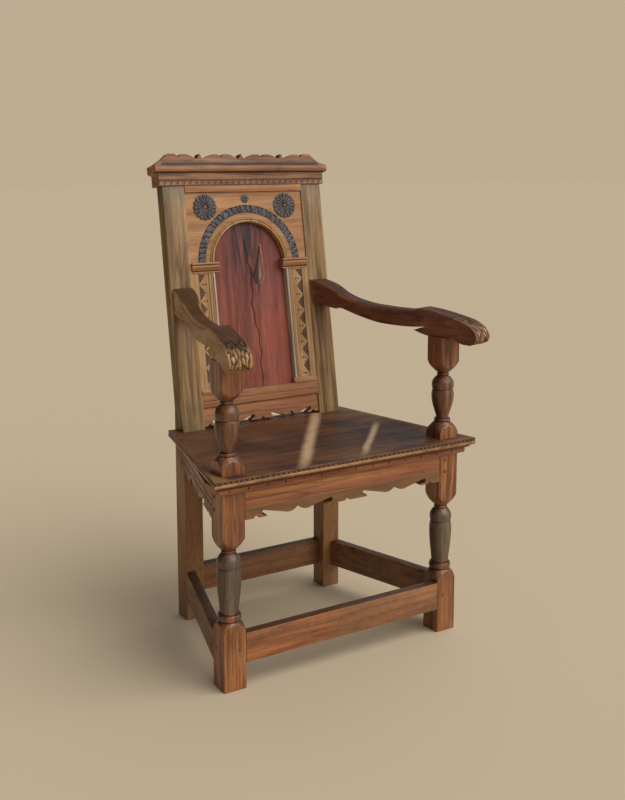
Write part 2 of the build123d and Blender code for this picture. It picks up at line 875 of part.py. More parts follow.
def make_side_stretcher(name: str, side: int):
    """Make one side stretcher, cut to the splay of the frame."""
    piece_name = f"side_stretcher_{name}"
    with BuildPart() as stretcher:
        block(
            side_plane(side),
            (-stretcher_thickness, stretcher_bottom, min(0, -side * stretcher_thickness)),
            (
                side_length + stretcher_thickness,
                stretcher_bottom + stretcher_height,
                max(0, -side * stretcher_thickness),
            ),
        )
        trim_between_posts(stretcher_bottom + stretcher_height)
        add_tenons(piece_name)
        cut_bores(piece_name)
    finish_piece(stretcher, piece_name)


# --------------------------------------------------------------------------
# Seat board and its bed moulding
# --------------------------------------------------------------------------


def seat_outline(inset: float) -> list:
    """Return the corners of the seat board, inset at its front and sides."""
    front = front_y - seat_front_overhang
    rear = back_y + seat_rear_depth
    flare = atan2((seat_front_width - seat_rear_width) / 2, rear - front)
    sideways = inset / cos(flare)
    front_half = seat_front_width / 2 - sideways - inset * tan(flare)
    rear_half = seat_rear_width / 2 - sideways
    return [(-front_half, front + inset), (front_half, front + inset), (rear_half, rear), (-rear_half, rear)]


def make_seat_board():
    """Make the seat board: band, bead and cove round its front and sides."""
    bead_top = seat_height - seat_band_height
    cove_top = bead_top - seat_bead_height
    layers = (
        (seat_height, seat_band_height, 0.0, 0.0),
        (bead_top, seat_bead_height, seat_bead_inset, 0.0),
        (cove_top, seat_cove_height, seat_cove_inset, 40.0),
    )
    hole = front_post_size + 2 * notch_clearance
    notch_width = rear_leg_width + 2 * notch_clearance
    notch_depth = seat_rear_depth + notch_clearance
    with BuildPart() as board:
        for top, height, inset, taper in layers:
            with BuildSketch(Plane.XY.offset(top)):
                with BuildLine():
                    Polyline(*seat_outline(inset), close=True)
                make_face()
            extrude(amount=-height, taper=taper)
        for side in sides.values():
            with BuildSketch(Plane.XY.offset(seat_height)):
                with Locations((side * front_post_x, front_post_y)):
                    Rectangle(hole, hole)
                with Locations((side * (rear_width - rear_leg_width) / 2, back_y - notch_clearance)):
                    Rectangle(notch_width, notch_depth * 2, align=(Align.CENTER, Align.MIN))
            extrude(amount=-seat_board_thickness, mode=Mode.SUBTRACT)

        # The lower back rail and the inner shoulders of the back posts stand over this strip
        block(
            Plane.XY,
            (-rear_leg_inner, back_y - notch_clearance, seat_height - seat_housing_depth),
            (rear_leg_inner, rear_leg_back, seat_height),
            Mode.SUBTRACT,
        )
    finish_piece(board, "seat_board")


def make_front_bed_moulding():
    """Make the strip under the front of the seat, mitred to the side strips."""
    half = front_width / 2
    with BuildPart() as strip:
        with BuildSketch(Plane.XY.offset(seat_underside)):
            with BuildLine():
                Polyline(
                    (-half, front_y),
                    (-half - bed_projection, front_y - bed_projection),
                    (half + bed_projection, front_y - bed_projection),
                    (half, front_y),
                    close=True,
                )
            make_face()
        extrude(amount=-bed_height)
    finish_piece(strip, "bed_moulding_front")


def make_side_bed_moulding(name: str, side: int):
    """Make the strip under one side of the seat, bent at the back of the front post."""
    half = front_width / 2
    spread = bed_projection / cos(side_angle)
    bend = bed_projection * tan(side_angle / 2)
    inner = [(half, front_y), (half, front_post_back), (rear_width / 2, back_y)]
    outer = [
        (rear_width / 2 + spread, back_y),
        (half + bed_projection, front_post_back + bend),
        (half + bed_projection, front_y - bed_projection),
    ]
    with BuildPart() as strip:
        with BuildSketch(Plane.XY.offset(seat_underside)):
            with BuildLine():
                Polyline(*[(side * x, y) for x, y in inner + outer], close=True)
            make_face()
        extrude(amount=-bed_height)
    finish_piece(strip, f"bed_moulding_{name}")


# --------------------------------------------------------------------------
# Back frame, panel and arcade
# --------------------------------------------------------------------------


def draw_lower_rail_section():
    """Draw the lower back rail's section: a scratched line over a coved step."""
    Polyline(
        (-lower_rail_setback, lower_rail_step - lower_rail_setback),
        (-lower_rail_setback, lower_rail_bottom),
        (-back_rail_depth, lower_rail_bottom),
        (-back_rail_depth, lower_rail_top),
        (0, lower_rail_top),
        (0, lower_rail_line + rail_line_depth),
        (-rail_line_depth, lower_rail_line),
        (0, lower_rail_line - rail_line_depth),
        (0, lower_rail_step),
    )
    RadiusArc(
        (0, lower_rail_step),
        (-lower_rail_setback, lower_rail_step - lower_rail_setback),
        lower_rail_setback,
    )


def cut_panel_groove(low: float, high: float):
    """Cut the panel's groove in a back rail and its tenons, between two heights."""
    half = back_post_inner + groove_depth + groove_clearance
    block(
        back_plane,
        (-half, low, -panel_setback - panel_thickness - groove_clearance),
        (half, high, -panel_setback + groove_clearance),
        Mode.SUBTRACT,
    )


def make_lower_back_rail():
    """Make the lower back rail, sawn along its bottom just above the seat."""
    with BuildPart() as rail:
        shape_board(
            back_plane,
            draw_lower_rail_section,
            lambda: draw_scalloped_outline(
                -back_post_inner,
                back_post_inner,
                lower_rail_bottom,
                lower_rail_top,
                2,
                lower_bay_half,
                lower_bay_rise,
            ),
            rear_width,
            back_rail_depth * 2,
        )
        add_tenons("lower_back_rail")
        cut_panel_groove(lower_rail_top - groove_depth - groove_clearance, lower_rail_top)
        cut_bores("lower_back_rail")
    finish_piece(rail, "lower_back_rail")


def make_top_back_rail():
    """Make the shallow rail between the spandrels and the crest."""
    with BuildPart() as rail:
        block(
            back_plane,
            (-back_post_inner, top_rail_bottom, -back_rail_depth),
            (back_post_inner, crest_bottom, top_rail_projection),
        )
        add_tenons("top_back_rail")
        cut_panel_groove(top_rail_bottom, top_rail_bottom + groove_depth + groove_clearance)
        cut_bores("top_back_rail")
    finish_piece(rail, "top_back_rail")


def make_back_panel():
    """Make the panel that floats in the grooves of posts and rails."""
    half = back_post_inner + groove_depth
    with BuildPart() as panel:
        block(
            back_plane,
            (-half, lower_rail_top - groove_depth, -panel_setback - panel_thickness),
            (half, top_rail_bottom + groove_depth, -panel_setback),
        )
    finish_piece(panel, "back_panel")


def make_pilaster(name: str, side: int):
    """Make one pilaster, with a sunk band for its carving."""
    outer = back_post_inner - planting_clearance
    span = ordered(side * pilaster_inner, side * outer)
    band = ordered(side * band_inner, side * band_outer)
    with BuildPart() as pilaster:
        block(
            back_plane,
            (span[0], pilaster_bottom, -panel_setback),
            (span[1], impost_bottom, -pilaster_setback),
        )
        block(
            back_plane,
            (band[0], pilaster_bottom + band_margin, -pilaster_setback - band_depth),
            (band[1], impost_bottom - band_margin, 0),
            Mode.SUBTRACT,
        )
    finish_piece(pilaster, f"pilaster_{name}")


def make_pilaster_base(name: str, side: int):
    """Make the moulded base that a pilaster stands on."""
    middle_height = (lower_rail_top + pilaster_bottom) / 2
    span = ordered(side * base_inner, side * (back_post_inner - planting_clearance))
    plane = section_plane(back_plane)
    with BuildPart() as base:
        with BuildSketch(Plane(origin=back_point(span[0], 0, 0), x_dir=plane.x_dir, z_dir=plane.z_dir)):
            with BuildLine():
                Polyline(
                    (-pilaster_setback, pilaster_bottom),
                    (-panel_setback, pilaster_bottom),
                    (-panel_setback, lower_rail_top),
                    (base_projection, lower_rail_top),
                    (base_projection, middle_height),
                )
                RadiusArc(
                    (base_projection, middle_height),
                    (-pilaster_setback, pilaster_bottom),
                    pilaster_bottom - middle_height,
                )
            make_face()
        extrude(amount=span[0] - span[1])
    finish_piece(base, f"pilaster_base_{name}")


def make_impost(name: str, side: int):
    """Make the capping block over a pilaster: a square face above an ovolo."""
    span = ordered(side * impost_inner, side * (back_post_inner - planting_clearance))
    plane = section_plane(back_plane)
    with BuildPart() as impost:
        with BuildSketch(Plane(origin=back_point(span[0], 0, 0), x_dir=plane.x_dir, z_dir=plane.z_dir)):
            with BuildLine():
                Polyline(
                    (impost_projection, impost_top - impost_face),
                    (impost_projection, impost_top),
                    (-panel_setback, impost_top),
                    (-panel_setback, impost_bottom),
                    (-pilaster_setback, impost_bottom),
                )
                ThreePointArc(
                    (-pilaster_setback, impost_bottom),
                    (
                        -pilaster_setback + (impost_projection + pilaster_setback) * sin(pi / 4),
                        impost_bottom + (impost_top - impost_face - impost_bottom) * (1 - cos(pi / 4)),
                    ),
                    (impost_projection, impost_top - impost_face),
                )
            make_face()
        extrude(amount=span[0] - span[1])
    finish_piece(impost, f"impost_{name}")


def make_arcade_board():
    """Make the spandrel board over the arch, with a sunk archivolt round it."""
    half = back_post_inner - planting_clearance
    with BuildPart() as board:
        with BuildSketch(back_plane.offset(-panel_setback)):
            with BuildLine():
                Polyline(
                    (-half, impost_top),
                    (half, impost_top),
                    (half, top_rail_bottom),
                    (-half, top_rail_bottom),
                    close=True,
                )
            make_face()
            with Locations((0, arch_centre)):
                Circle(arch_bead_outer, mode=Mode.SUBTRACT)
        extrude(amount=panel_setback - spandrel_setback)
        with BuildSketch(back_plane.offset(-spandrel_setback)):
            with Locations((0, arch_centre)):
                Circle(archivolt_outer)
                Circle(archivolt_inner, mode=Mode.SUBTRACT)
        extrude(amount=-archivolt_depth, mode=Mode.SUBTRACT)
    finish_piece(board, "arcade_board")


def make_arch_bead():
    """Make the bent strip that lines the arch and springs from the imposts."""
    outer = arch_bead_outer - planting_clearance
    with BuildPart() as bead:
        with BuildSketch(back_plane.offset(-panel_setback)):
            with Locations((0, arch_centre)):
                Circle(outer)
                Circle(arch_bead_inner, mode=Mode.SUBTRACT)
            with Locations((0, impost_top)):
                Rectangle(3 * outer, 3 * outer, align=(Align.CENTER, Align.MAX), mode=Mode.SUBTRACT)
        extrude(amount=panel_setback)
    finish_piece(bead, "arch_bead")


def rosette_corners() -> list:
    """Return the outline of a rosette: petals with blunt tips between sharp nicks."""
    tips = ((0, rosette_nick_radius), (1 / 4, rosette_radius - rosette_tip_drop))
    tips += ((1 / 2, rosette_radius), (3 / 4, rosette_radius - rosette_tip_drop))
    corners = []
    for petal in range(rosette_petals):
        for share, radius in tips:
            angle = 2 * pi * (petal + share) / rosette_petals
            corners.append((radius * cos(angle), radius * sin(angle)))
    return corners


def make_rosette(name: str, side: int):
    """Make one rosette: a ring of petals round a raised button."""
    middle = (side * rosette_across, rosette_height)
    with BuildPart() as rosette:
        with BuildSketch(back_plane.offset(-spandrel_setback)):
            with Locations(middle):
                Polygon(*rosette_corners(), align=None)
        extrude(amount=rosette_thickness)
        with BuildSketch(back_plane.offset(rosette_thickness - spandrel_setback)):
            with Locations(middle):
                RegularPolygon(rosette_button_radius, rosette_petals)
        extrude(amount=rosette_button_height, taper=20)
    finish_piece(rosette, f"rosette_{name}")


def make_centre_boss():
    """Make the round boss over the arch, cut with a cross."""
    with BuildPart() as boss:
        with BuildSketch(back_plane.offset(-spandrel_setback)):
            with Locations((0, boss_height)):
                RegularPolygon(boss_radius, rosette_petals)
        extrude(amount=boss_thickness, taper=10)
        with BuildSketch(back_plane.offset(boss_thickness - spandrel_setback)):
            with Locations((0, boss_height)):
                Rectangle(boss_radius, boss_cross_width)
                Rectangle(boss_cross_width, boss_radius)
        extrude(amount=-boss_cross_depth, mode=Mode.SUBTRACT)
    finish_piece(boss, "centre_boss")


# --------------------------------------------------------------------------
# Crest
# --------------------------------------------------------------------------


def draw_crest_section():
    """Draw the crest's section: a flat band, a torus, a cove and the sawn top board."""
    band = crest_band_projection
    torus = crest_torus_projection
    lip = band + crest_torus_step
    board = -crest_board_setback
    Polyline(
        (lip, crest_band_top),
        (band, crest_band_top),
        (band, crest_bottom),
        (-crest_back, crest_bottom),
        (-crest_back, crest_cove_top),
        (-crest_board_back, crest_cove_top),
        (-crest_board_back, crest_top),
        (board, crest_top),
        (board, crest_cove_top),
    )
    ThreePointArc((lip, crest_band_top), (torus, (crest_band_top + crest_torus_top) / 2), (lip, crest_torus_top))
    ThreePointArc(
        (lip, crest_torus_top),
        (board + (lip - board) * 0.3, crest_torus_top + (crest_cove_top - crest_torus_top) * 0.3),
        (board, crest_cove_top),
    )


def draw_peak(middle: float, turn: int, valley: float):
    """Draw one side of a peak of the crest, from its tip down to the valley beside it."""
    ThreePointArc(
        (middle, crest_top),
        (middle + turn * crest_peak_half * 0.75, crest_top - crest_valley_depth * 0.3),
        (middle + turn * crest_peak_half, valley),
    )


def draw_lobe(start: float, end: float, valley: float, notch: float):
    """Draw one lobe of the crest: from a valley over its rounded top to a notch."""
    run = end - start
    rise = crest_top - crest_lobe_drop - valley
    summit = (start + run * 0.8, valley + rise)
    ThreePointArc((start, valley), (start + run * 0.36, valley + rise * 0.62), summit)
    ThreePointArc(summit, (start + run * 0.94, valley + rise * 0.85), (end, notch))


def draw_crest_outline():
    """Draw the crest's outline: moulded ends, raked shoulders and a sawn top edge."""
    valley = crest_top - crest_valley_depth
    notch = crest_top - crest_notch_depth
    shoulder_notch = crest_pitch * crest_shoulder_share
    for turn in (-1, 1):
        end = turn * crest_end_half_width
        shoulder = turn * crest_shoulder_half_width
        Polyline(
            (0, crest_bottom),
            (turn * crest_half_width, crest_bottom),
            (turn * crest_half_width, crest_band_top - crest_return_rise),
            (end, crest_band_top + crest_return_rise),
            (end, crest_torus_top),
        )
        ThreePointArc(
            (end, crest_torus_top),
            ((end + shoulder) / 2, crest_cove_top + crest_return_rise),
            (shoulder, crest_top),
        )
        ThreePointArc(
            (shoulder, crest_top),
            ((shoulder + turn * shoulder_notch) / 2, crest_top - crest_lobe_drop),
            (turn * shoulder_notch, notch),
        )
        draw_peak(0, turn, valley)
        draw_lobe(turn * crest_peak_half, turn * crest_pitch / 2, valley, notch)
        draw_lobe(turn * (crest_pitch - crest_peak_half), turn * crest_pitch / 2, valley, notch)
        for way in (-turn, turn):
            draw_peak(turn * crest_pitch, way, valley)
        draw_lobe(turn * (crest_pitch + crest_peak_half), turn * shoulder_notch, valley, notch)


def make_crest_rail():
    """Make the moulded crest that caps the back posts."""
    with BuildPart() as crest:
        shape_board(
            back_plane,
            draw_crest_section,
            draw_crest_outline,
            crest_end_half_width * 1.5,
            crest_depth * 2,
        )
        cut_mortises("crest_rail")
        cut_bores("crest_rail")
    finish_piece(crest, "crest_rail")


# --------------------------------------------------------------------------
# Arms
# --------------------------------------------------------------------------


def draw_arm_outline():
    """Draw an arm from the side: a sagging rest, a cusp and a rolled hand.

    Under the hand a tip points back along the arm, and a bracket is cut at the back post.
    """
    rear = -arm_rear_depth / 2  # run on into the back post, and sawn off to its rake
    rear_top = arm_rear_height + arm_rear_depth / 2
    rear_bottom = arm_rear_height - arm_rear_depth / 2
    post_s = (front_post_x - arm_rear_across) / sin(arm_flare)
    rest = arm_underside + arm_rest_height
    cusp = (post_s - hand_cusp_setback, arm_underside + hand_height)
    cusp_foot = (cusp[0] - hand_cusp_run, cusp[1] - hand_cusp_rise)
    crown = (rear, rear_top - rear * arm_shoulder_drop / arm_shoulder_run)
    toe = (arm_length - hand_toe_setback, arm_underside - hand_toe_drop)
    nick = (post_s + hand_bearing_half + hand_nick, arm_underside + hand_nick)
    hook = (post_s - hand_bearing_half - hand_hook_reach, arm_underside + hand_hook_height)
    gullet = (post_s - hand_bearing_half, arm_underside + hand_gullet_height)
    chin = (arm_chin_run, rear_bottom - arm_chin_drop)
    chin_front = (chin[0] + arm_chin_step, chin[1] + arm_chin_step / 2)
    Line((rear, rear_bottom), crown)
    Spline(
        crown,
        (arm_shoulder_run, rear_top - arm_shoulder_drop),
        (arm_sag_run, rest),
        cusp_foot,
        tangents=((1, -0.12), (1, 0.08)),
    )
    Line(cusp_foot, cusp)
    Spline(
        cusp,
        (post_s + hand_brow_reach, arm_underside + hand_brow_height),
        (arm_length - hand_knuckle_setback, arm_underside + hand_knuckle_height),
        (arm_length, arm_underside + hand_tip_height),
        toe,
        tangents=((1, -0.05), (-1, -0.2)),
    )
    Spline(toe, nick, tangents=((-1, 0), (-1, 1)))
    Polyline(
        nick,
        (post_s + hand_bearing_half, arm_underside),
        (post_s - hand_bearing_half, arm_underside),
    )
    Spline((post_s - hand_bearing_half, arm_underside), hook, tangents=((-1, 0), (-1, 0.4)))
    Line(hook, gullet)
    Spline(gullet, (arm_sag_run, arm_underside + arm_belly_height), chin_front)
    Polyline(
        chin_front,
        chin,
        (arm_chin_back, rear_bottom + arm_chin_step / 4),
        (rear, rear_bottom),
    )


def draw_arm_plan():
    """Draw an arm from above: full width at the post and the hand, waisted between them."""
    half = arm_width / 2
    waist = arm_waist_width / 2
    waist_start = arm_chin_run
    waist_end = (front_post_x - arm_rear_across) / sin(arm_flare) - hand_cusp_setback
    for turn in (-1, 1):
        Polyline(
            (-arm_rear_depth, turn * half),
            (waist_start, turn * half),
            (waist_start + arm_waist_run, turn * waist),
            (waist_end - arm_waist_run, turn * waist),
            (waist_end, turn * half),
            (arm_length + half, turn * half),
        )
    Line((-arm_rear_depth, -half), (-arm_rear_depth, half))
    Line((arm_length + half, -half), (arm_length + half, half))


def make_arm(name: str, side: int):
    """Make one arm, flared in plan, waisted along its rest and rolled at its hand."""
    piece_name = f"arm_{name}"
    plane = arm_plane(side)
    with BuildPart() as arm_piece:
        with BuildSketch(plane):
            with BuildLine():
                draw_arm_outline()
            make_face()
        extrude(amount=arm_width / 2, both=True)
        with BuildSketch(Plane(origin=plane.origin, x_dir=plane.x_dir, z_dir=(0, 0, 1))) as plan:
            with BuildLine():
                draw_arm_plan()
            make_face()
        extrude(plan.sketch, amount=arm_rear_height + arm_rear_depth, mode=Mode.INTERSECT)
        split(bisect_by=back_plane, keep=Keep.TOP)
        add_tenons(piece_name)
        cut_mortises(piece_name)
        cut_bores(piece_name)
    finish_piece(arm_piece, piece_name)


# --------------------------------------------------------------------------
# Pegs
# --------------------------------------------------------------------------


def make_pegs(group: str):
    """Make every peg of one group, as separate riven pins."""
    with BuildPart() as pins:
        for peg in pegs:
            if peg.group == group:
                with BuildSketch(peg_plane(peg)):
                    RegularPolygon(peg_radius, peg_sides, rotation=peg_turn)
                extrude(amount=peg.length - peg_clearance)
    finish_piece(pins, group)


# --------------------------------------------------------------------------
# The chair
# --------------------------------------------------------------------------

make_front_posts()
for side_name, side in sides.items():
    make_rear_post(side_name, side)
    make_side_seat_rail(side_name, side)
    make_side_stretcher(side_name, side)
    make_side_bed_moulding(side_name, side)
    make_pilaster(side_name, side)
    make_pilaster_base(side_name, side)
    make_impost(side_name, side)
    make_rosette(side_name, side)
    make_arm(side_name, side)
make_front_seat_rail()
make_rear_seat_rail()
make_cross_stretcher("front_stretcher", front_post_inner, front_y)
make_cross_stretcher("rear_stretcher", rear_leg_inner, rear_leg_back - stretcher_thickness)
make_seat_board()
make_front_bed_moulding()
make_lower_back_rail()
make_top_back_rail()
make_back_panel()
make_arcade_board()
make_arch_bead()
make_centre_boss()
make_crest_rail()
for peg_group in ("seat_rail_pegs", "stretcher_pegs", "back_pegs", "arm_pegs"):
    make_pegs(peg_group)
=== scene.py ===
import logging
import math
from dataclasses import dataclass, field
from enum import Enum
from typing import Callable, ClassVar, Iterable, Sequence

import bmesh
import bpy
import numpy as np
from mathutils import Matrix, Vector


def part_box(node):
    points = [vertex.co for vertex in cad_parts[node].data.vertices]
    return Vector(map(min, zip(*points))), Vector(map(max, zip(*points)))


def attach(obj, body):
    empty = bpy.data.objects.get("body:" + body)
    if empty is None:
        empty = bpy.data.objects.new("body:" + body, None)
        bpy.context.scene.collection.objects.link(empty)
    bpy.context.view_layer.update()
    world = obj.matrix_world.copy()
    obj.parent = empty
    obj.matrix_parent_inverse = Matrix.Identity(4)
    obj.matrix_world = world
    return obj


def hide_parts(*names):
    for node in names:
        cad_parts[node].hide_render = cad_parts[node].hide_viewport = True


# A joined oak armchair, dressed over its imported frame. Lengths are metres in the frame's own
# axes: the chair faces -Y, X runs to the right of someone facing it, and Z is up. "left" is -X.

LOG = logging.getLogger("wainscot_chair")
MM = 0.001
BACK_RAKE = math.radians(9.5)
MERGE_DISTANCE = 0.02 * MM
FLAT_ANGLE = math.radians(1.0)
CRISP_ANGLE = math.radians(28.0)
WORN_SHARP = 40.0
LEAST_AGREEMENT = 0.6
MOST_CORNERS = 8
PANEL_FACE = -15.0 * MM

Colour = tuple[float, float, float]
Socket = bpy.types.NodeSocket
Value = float | Socket
Triple = tuple[float, float, float] | Socket
Tint = tuple[float, float, float, float] | Socket
Run = tuple[tuple[float, float], ...]
Relief = Callable[[np.ndarray, np.ndarray], tuple[np.ndarray, np.ndarray]]
DiscRelief = Callable[[np.ndarray, np.ndarray], tuple[np.ndarray, ...]]


class Side(Enum):
    """A side of the chair, as someone sees it who faces the chair, and the sign of its X."""

    LEFT = -1
    RIGHT = 1

    @property
    def label(self) -> str:
        """Return the side as the nodes' names spell it."""
        return self.name.lower()


def srgb(red: int, green: int, blue: int) -> Colour:
    """Return the linear colour that a shader takes for one written in 0 to 255.

    Args:
        red: Level of red.
        green: Level of green.
        blue: Level of blue.

    Returns:
        The colour as linear red, green and blue.
    """

    def linear(level: int) -> float:
        """Return one level as linear light."""
        share = level / 255
        return share / 12.92 if share <= 0.04045 else ((share + 0.055) / 1.055) ** 2.4

    return linear(red), linear(green), linear(blue)


def smooth(share: np.ndarray) -> np.ndarray:
    """Return a share from 0 to 1 eased at both ends."""
    clipped = np.clip(share, 0.0, 1.0)
    return clipped * clipped * (3.0 - 2.0 * clipped)


def bump(distance: np.ndarray, reach: float) -> np.ndarray:
    """Return 1 at no distance, falling smoothly to 0 at the given reach."""
    return smooth(1.0 - np.abs(distance) / reach)


def flow(points: Sequence[tuple[float, float]], pieces: int) -> list[tuple[float, float]]:
    """Run a smooth curve through a few points.

    Args:
        points: The points that the curve passes through, in order.
        pieces: Number of short lines between each point and the next.

    Returns:
        Points on the curve, without the last one.
    """
    ends = [points[0], *points, points[-1]]
    curve = []
    for before, start, end, after in zip(ends, ends[1:], ends[2:], ends[3:]):
        for step in range(pieces):
            t = step / pieces
            curve.append(
                tuple(
                    0.5
                    * (
                        2 * b
                        + (c - a) * t
                        + (2 * a - 5 * b + 4 * c - d) * t**2
                        + (3 * b - a - 3 * c + d) * t**3
                    )
                    for a, b, c, d in zip(before, start, end, after)
                )
            )
    return curve


# Shader effects


class Grain(Enum):
    """Axis along which a piece's grain runs, as the draw of its streaks."""

    ACROSS = (0.05, 1.0, 1.0)
    DEPTH = (1.0, 0.05, 1.0)
    UPRIGHT = (1.0, 1.0, 0.05)


class Graph:
    """A node tree under construction, with short ways to add and join its nodes."""

    def __init__(self, tree: bpy.types.NodeTree) -> None:
        """Start on an empty tree."""
        self.tree = tree

    def node(
        self, kind: str, sockets: dict[str | int, object] | None = None, **settings: object
    ) -> bpy.types.Node:
        """Add a node.

        Args:
            kind: The node's type, without its ShaderNode prefix.
            sockets: Values or outputs for its inputs, by name or number.
            settings: Its other properties.

        Returns:
            The new node.
        """
        added = self.tree.nodes.new(kind if kind.startswith("Node") else f"ShaderNode{kind}")
        for key, value in settings.items():
            setattr(added, key, value)
        self.feed(added, sockets or {})
        return added

    def feed(self, node: bpy.types.Node, sockets: dict[str | int, object]) -> None:
        """Join outputs to a node's inputs, and set the inputs that take plain values.

        Args:
            node: The node.
            sockets: Values or outputs for its inputs, by name or number.
        """
        for key, value in sockets.items():
            if isinstance(value, Socket):
                self.tree.links.new(value, node.inputs[key])
            else:
                node.inputs[key].default_value = value

    def math(
        self, operation: str, first: Value, second: Value = 0.0, clamp: bool = False
    ) -> Socket:
        """Return the result of a sum on two values."""
        added = self.node("Math", {0: first, 1: second}, operation=operation, use_clamp=clamp)
        return added.outputs[0]

    def vector(self, operation: str, first: Triple, second: Triple) -> Socket:
        """Return the vector result of a sum on two vectors."""
        added = self.node("VectorMath", {0: first, 1: second}, operation=operation)
        return added.outputs["Vector"]

    def scale(self, vector: Triple, factor: Value) -> Socket:
        """Return a vector made longer or shorter."""
        added = self.node("VectorMath", {0: vector, "Scale": factor}, operation="SCALE")
        return added.outputs["Vector"]

    def dot(self, first: Triple, second: Triple) -> Socket:
        """Return how far a vector runs along another."""
        added = self.node("VectorMath", {0: first, 1: second}, operation="DOT_PRODUCT")
        return added.outputs["Value"]

    def tilt(self, vector: Triple, angle: float) -> Socket:
        """Return a vector turned about X, so that a raked piece's grain runs up its slope."""
        sockets = {"Vector": vector, "Angle": angle}
        return self.node("VectorRotate", sockets, rotation_type="X_AXIS").outputs["Vector"]

    def axis(self, vector: Triple, name: str) -> Socket:
        """Return one of a vector's three numbers."""
        return self.node("SeparateXYZ", {0: vector}).outputs[name]

    def mix(self, share: Value, first: Tint, second: Tint, blend: str = "MIX") -> Socket:
        """Return two colours mixed."""
        sockets = {0: share, 6: first, 7: second}
        return self.node("Mix", sockets, data_type="RGBA", blend_type=blend).outputs[2]

    def spread(
        self, value: Value, low: float, high: float, to_low: float = 0.0, to_high: float = 1.0
    ) -> Socket:
        """Return a value stretched from one range to another, eased and held at its ends.

        Args:
            value: The value.
            low: Where the first range starts.
            high: Where it ends.
            to_low: Where the second range starts.
            to_high: Where it ends.

        Returns:
            The value in the second range.
        """
        sockets = {
            "Value": value,
            "From Min": low,
            "From Max": high,
            "To Min": to_low,
            "To Max": to_high,
        }
        return self.node("MapRange", sockets, interpolation_type="SMOOTHSTEP").outputs["Result"]

    def noise(
        self,
        vector: Triple,
        scale: float,
        detail: float = 3.0,
        roughness: float = 0.5,
        distortion: float = 0.0,
    ) -> Socket:
        """Return the level of a noise texture.

        Args:
            vector: Where it is read.
            scale: Its fineness, as waves to the metre.
            detail: Number of finer octaves.
            roughness: Strength of each octave over the one before.
            distortion: How far it is warped by itself.

        Returns:
            The level, about 0.5 in the middle.
        """
        sockets = {
            "Vector": vector,
            "Scale": scale,
            "Detail": detail,
            "Roughness": roughness,
            "Distortion": distortion,
        }
        return self.node("TexNoise", sockets).outputs["Fac"]


def colour4(colour: Colour) -> tuple[float, float, float, float]:
    """Return a colour with full alpha, as a socket takes it."""
    return (*colour, 1.0)


class Effect:
    """A shader node group that several finishes share."""

    title: ClassVar[str] = ""
    takes: ClassVar[dict[str, str]] = {}
    gives: ClassVar[dict[str, str]] = {}

    @classmethod
    def tree(cls) -> bpy.types.NodeTree:
        """Return the group's node tree, made on first use.

        Returns:
            The node tree.
        """
        found = bpy.data.node_groups.get(cls.title)
        if found:
            return found
        tree = bpy.data.node_groups.new(cls.title, "ShaderNodeTree")
        for name, kind in cls.takes.items():
            tree.interface.new_socket(name, in_out="INPUT", socket_type=kind)
        for name, kind in cls.gives.items():
            tree.interface.new_socket(name, in_out="OUTPUT", socket_type=kind)
        graph = Graph(tree)
        inlet = graph.node("NodeGroupInput")
        results = cls.fill(graph, inlet)
        graph.node("NodeGroupOutput", results)
        return tree

    @classmethod
    def fill(cls, graph: Graph, inlet: bpy.types.Node) -> dict[str, Socket]:
        """Fill the group with its nodes and return its outputs by name."""
        raise NotImplementedError

    @classmethod
    def use(cls, graph: Graph, sockets: dict[str | int, object]) -> bpy.types.Node:
        """Add the group to a material.

        Args:
            graph: The material's nodes.
            sockets: Values or outputs for the group's inputs, by name.

        Returns:
            The node that stands for the group.
        """
        added = graph.node("Group")
        added.node_tree = cls.tree()
        graph.feed(added, sockets)
        return added


class OakFigure(Effect):
    """Long streaks, growth lines, fine pores and flecks, drawn out along the grain."""

    title = "oak_figure"
    takes = {"Vector": "NodeSocketVector", "Coarseness": "NodeSocketFloat"}
    gives = {
        "Streaks": "NodeSocketFloat",
        "Pores": "NodeSocketFloat",
        "Flecks": "NodeSocketFloat",
        "Lines": "NodeSocketFloat",
    }

    @classmethod
    def fill(cls, graph: Graph, inlet: bpy.types.Node) -> dict[str, Socket]:
        """Draw streaks, growth lines, pores and flecks.

        Args:
            graph: The group's nodes.
            inlet: The group's inputs.

        Returns:
            The group's outputs by name.
        """
        vector = graph.scale(inlet.outputs["Vector"], inlet.outputs["Coarseness"])
        wave = graph.node("TexNoise", {"Vector": vector, "Scale": 14.0, "Detail": 1.0})
        sway = graph.vector("SUBTRACT", wave.outputs["Color"], (0.5, 0.5, 0.5))
        sway = graph.vector("MULTIPLY", sway, (0.028, 0.028, 0.028))
        warped = graph.vector("ADD", vector, sway)
        streaks = graph.noise(warped, 120.0, 4.0, 0.58, 0.35)
        pores = graph.noise(warped, 620.0, 2.0, 0.55)
        flecks = graph.noise(vector, 250.0, 2.0, 0.5, 1.2)
        rings = graph.math("MULTIPLY", graph.noise(warped, 17.0, 1.0, 0.4, 0.5), 13.0)
        rings = graph.math("PINGPONG", rings, 0.5)
        broken = graph.spread(graph.noise(vector, 60.0, 2.0, 0.5), 0.3, 0.6, 0.35, 1.0)
        return {
            "Lines": graph.math("MULTIPLY", graph.spread(rings, 0.1, 0.0), broken),
            "Streaks": graph.spread(streaks, 0.3, 0.7),
            "Pores": graph.spread(pores, 0.5, 0.72),
            "Flecks": graph.spread(flecks, 0.6, 0.72),
        }


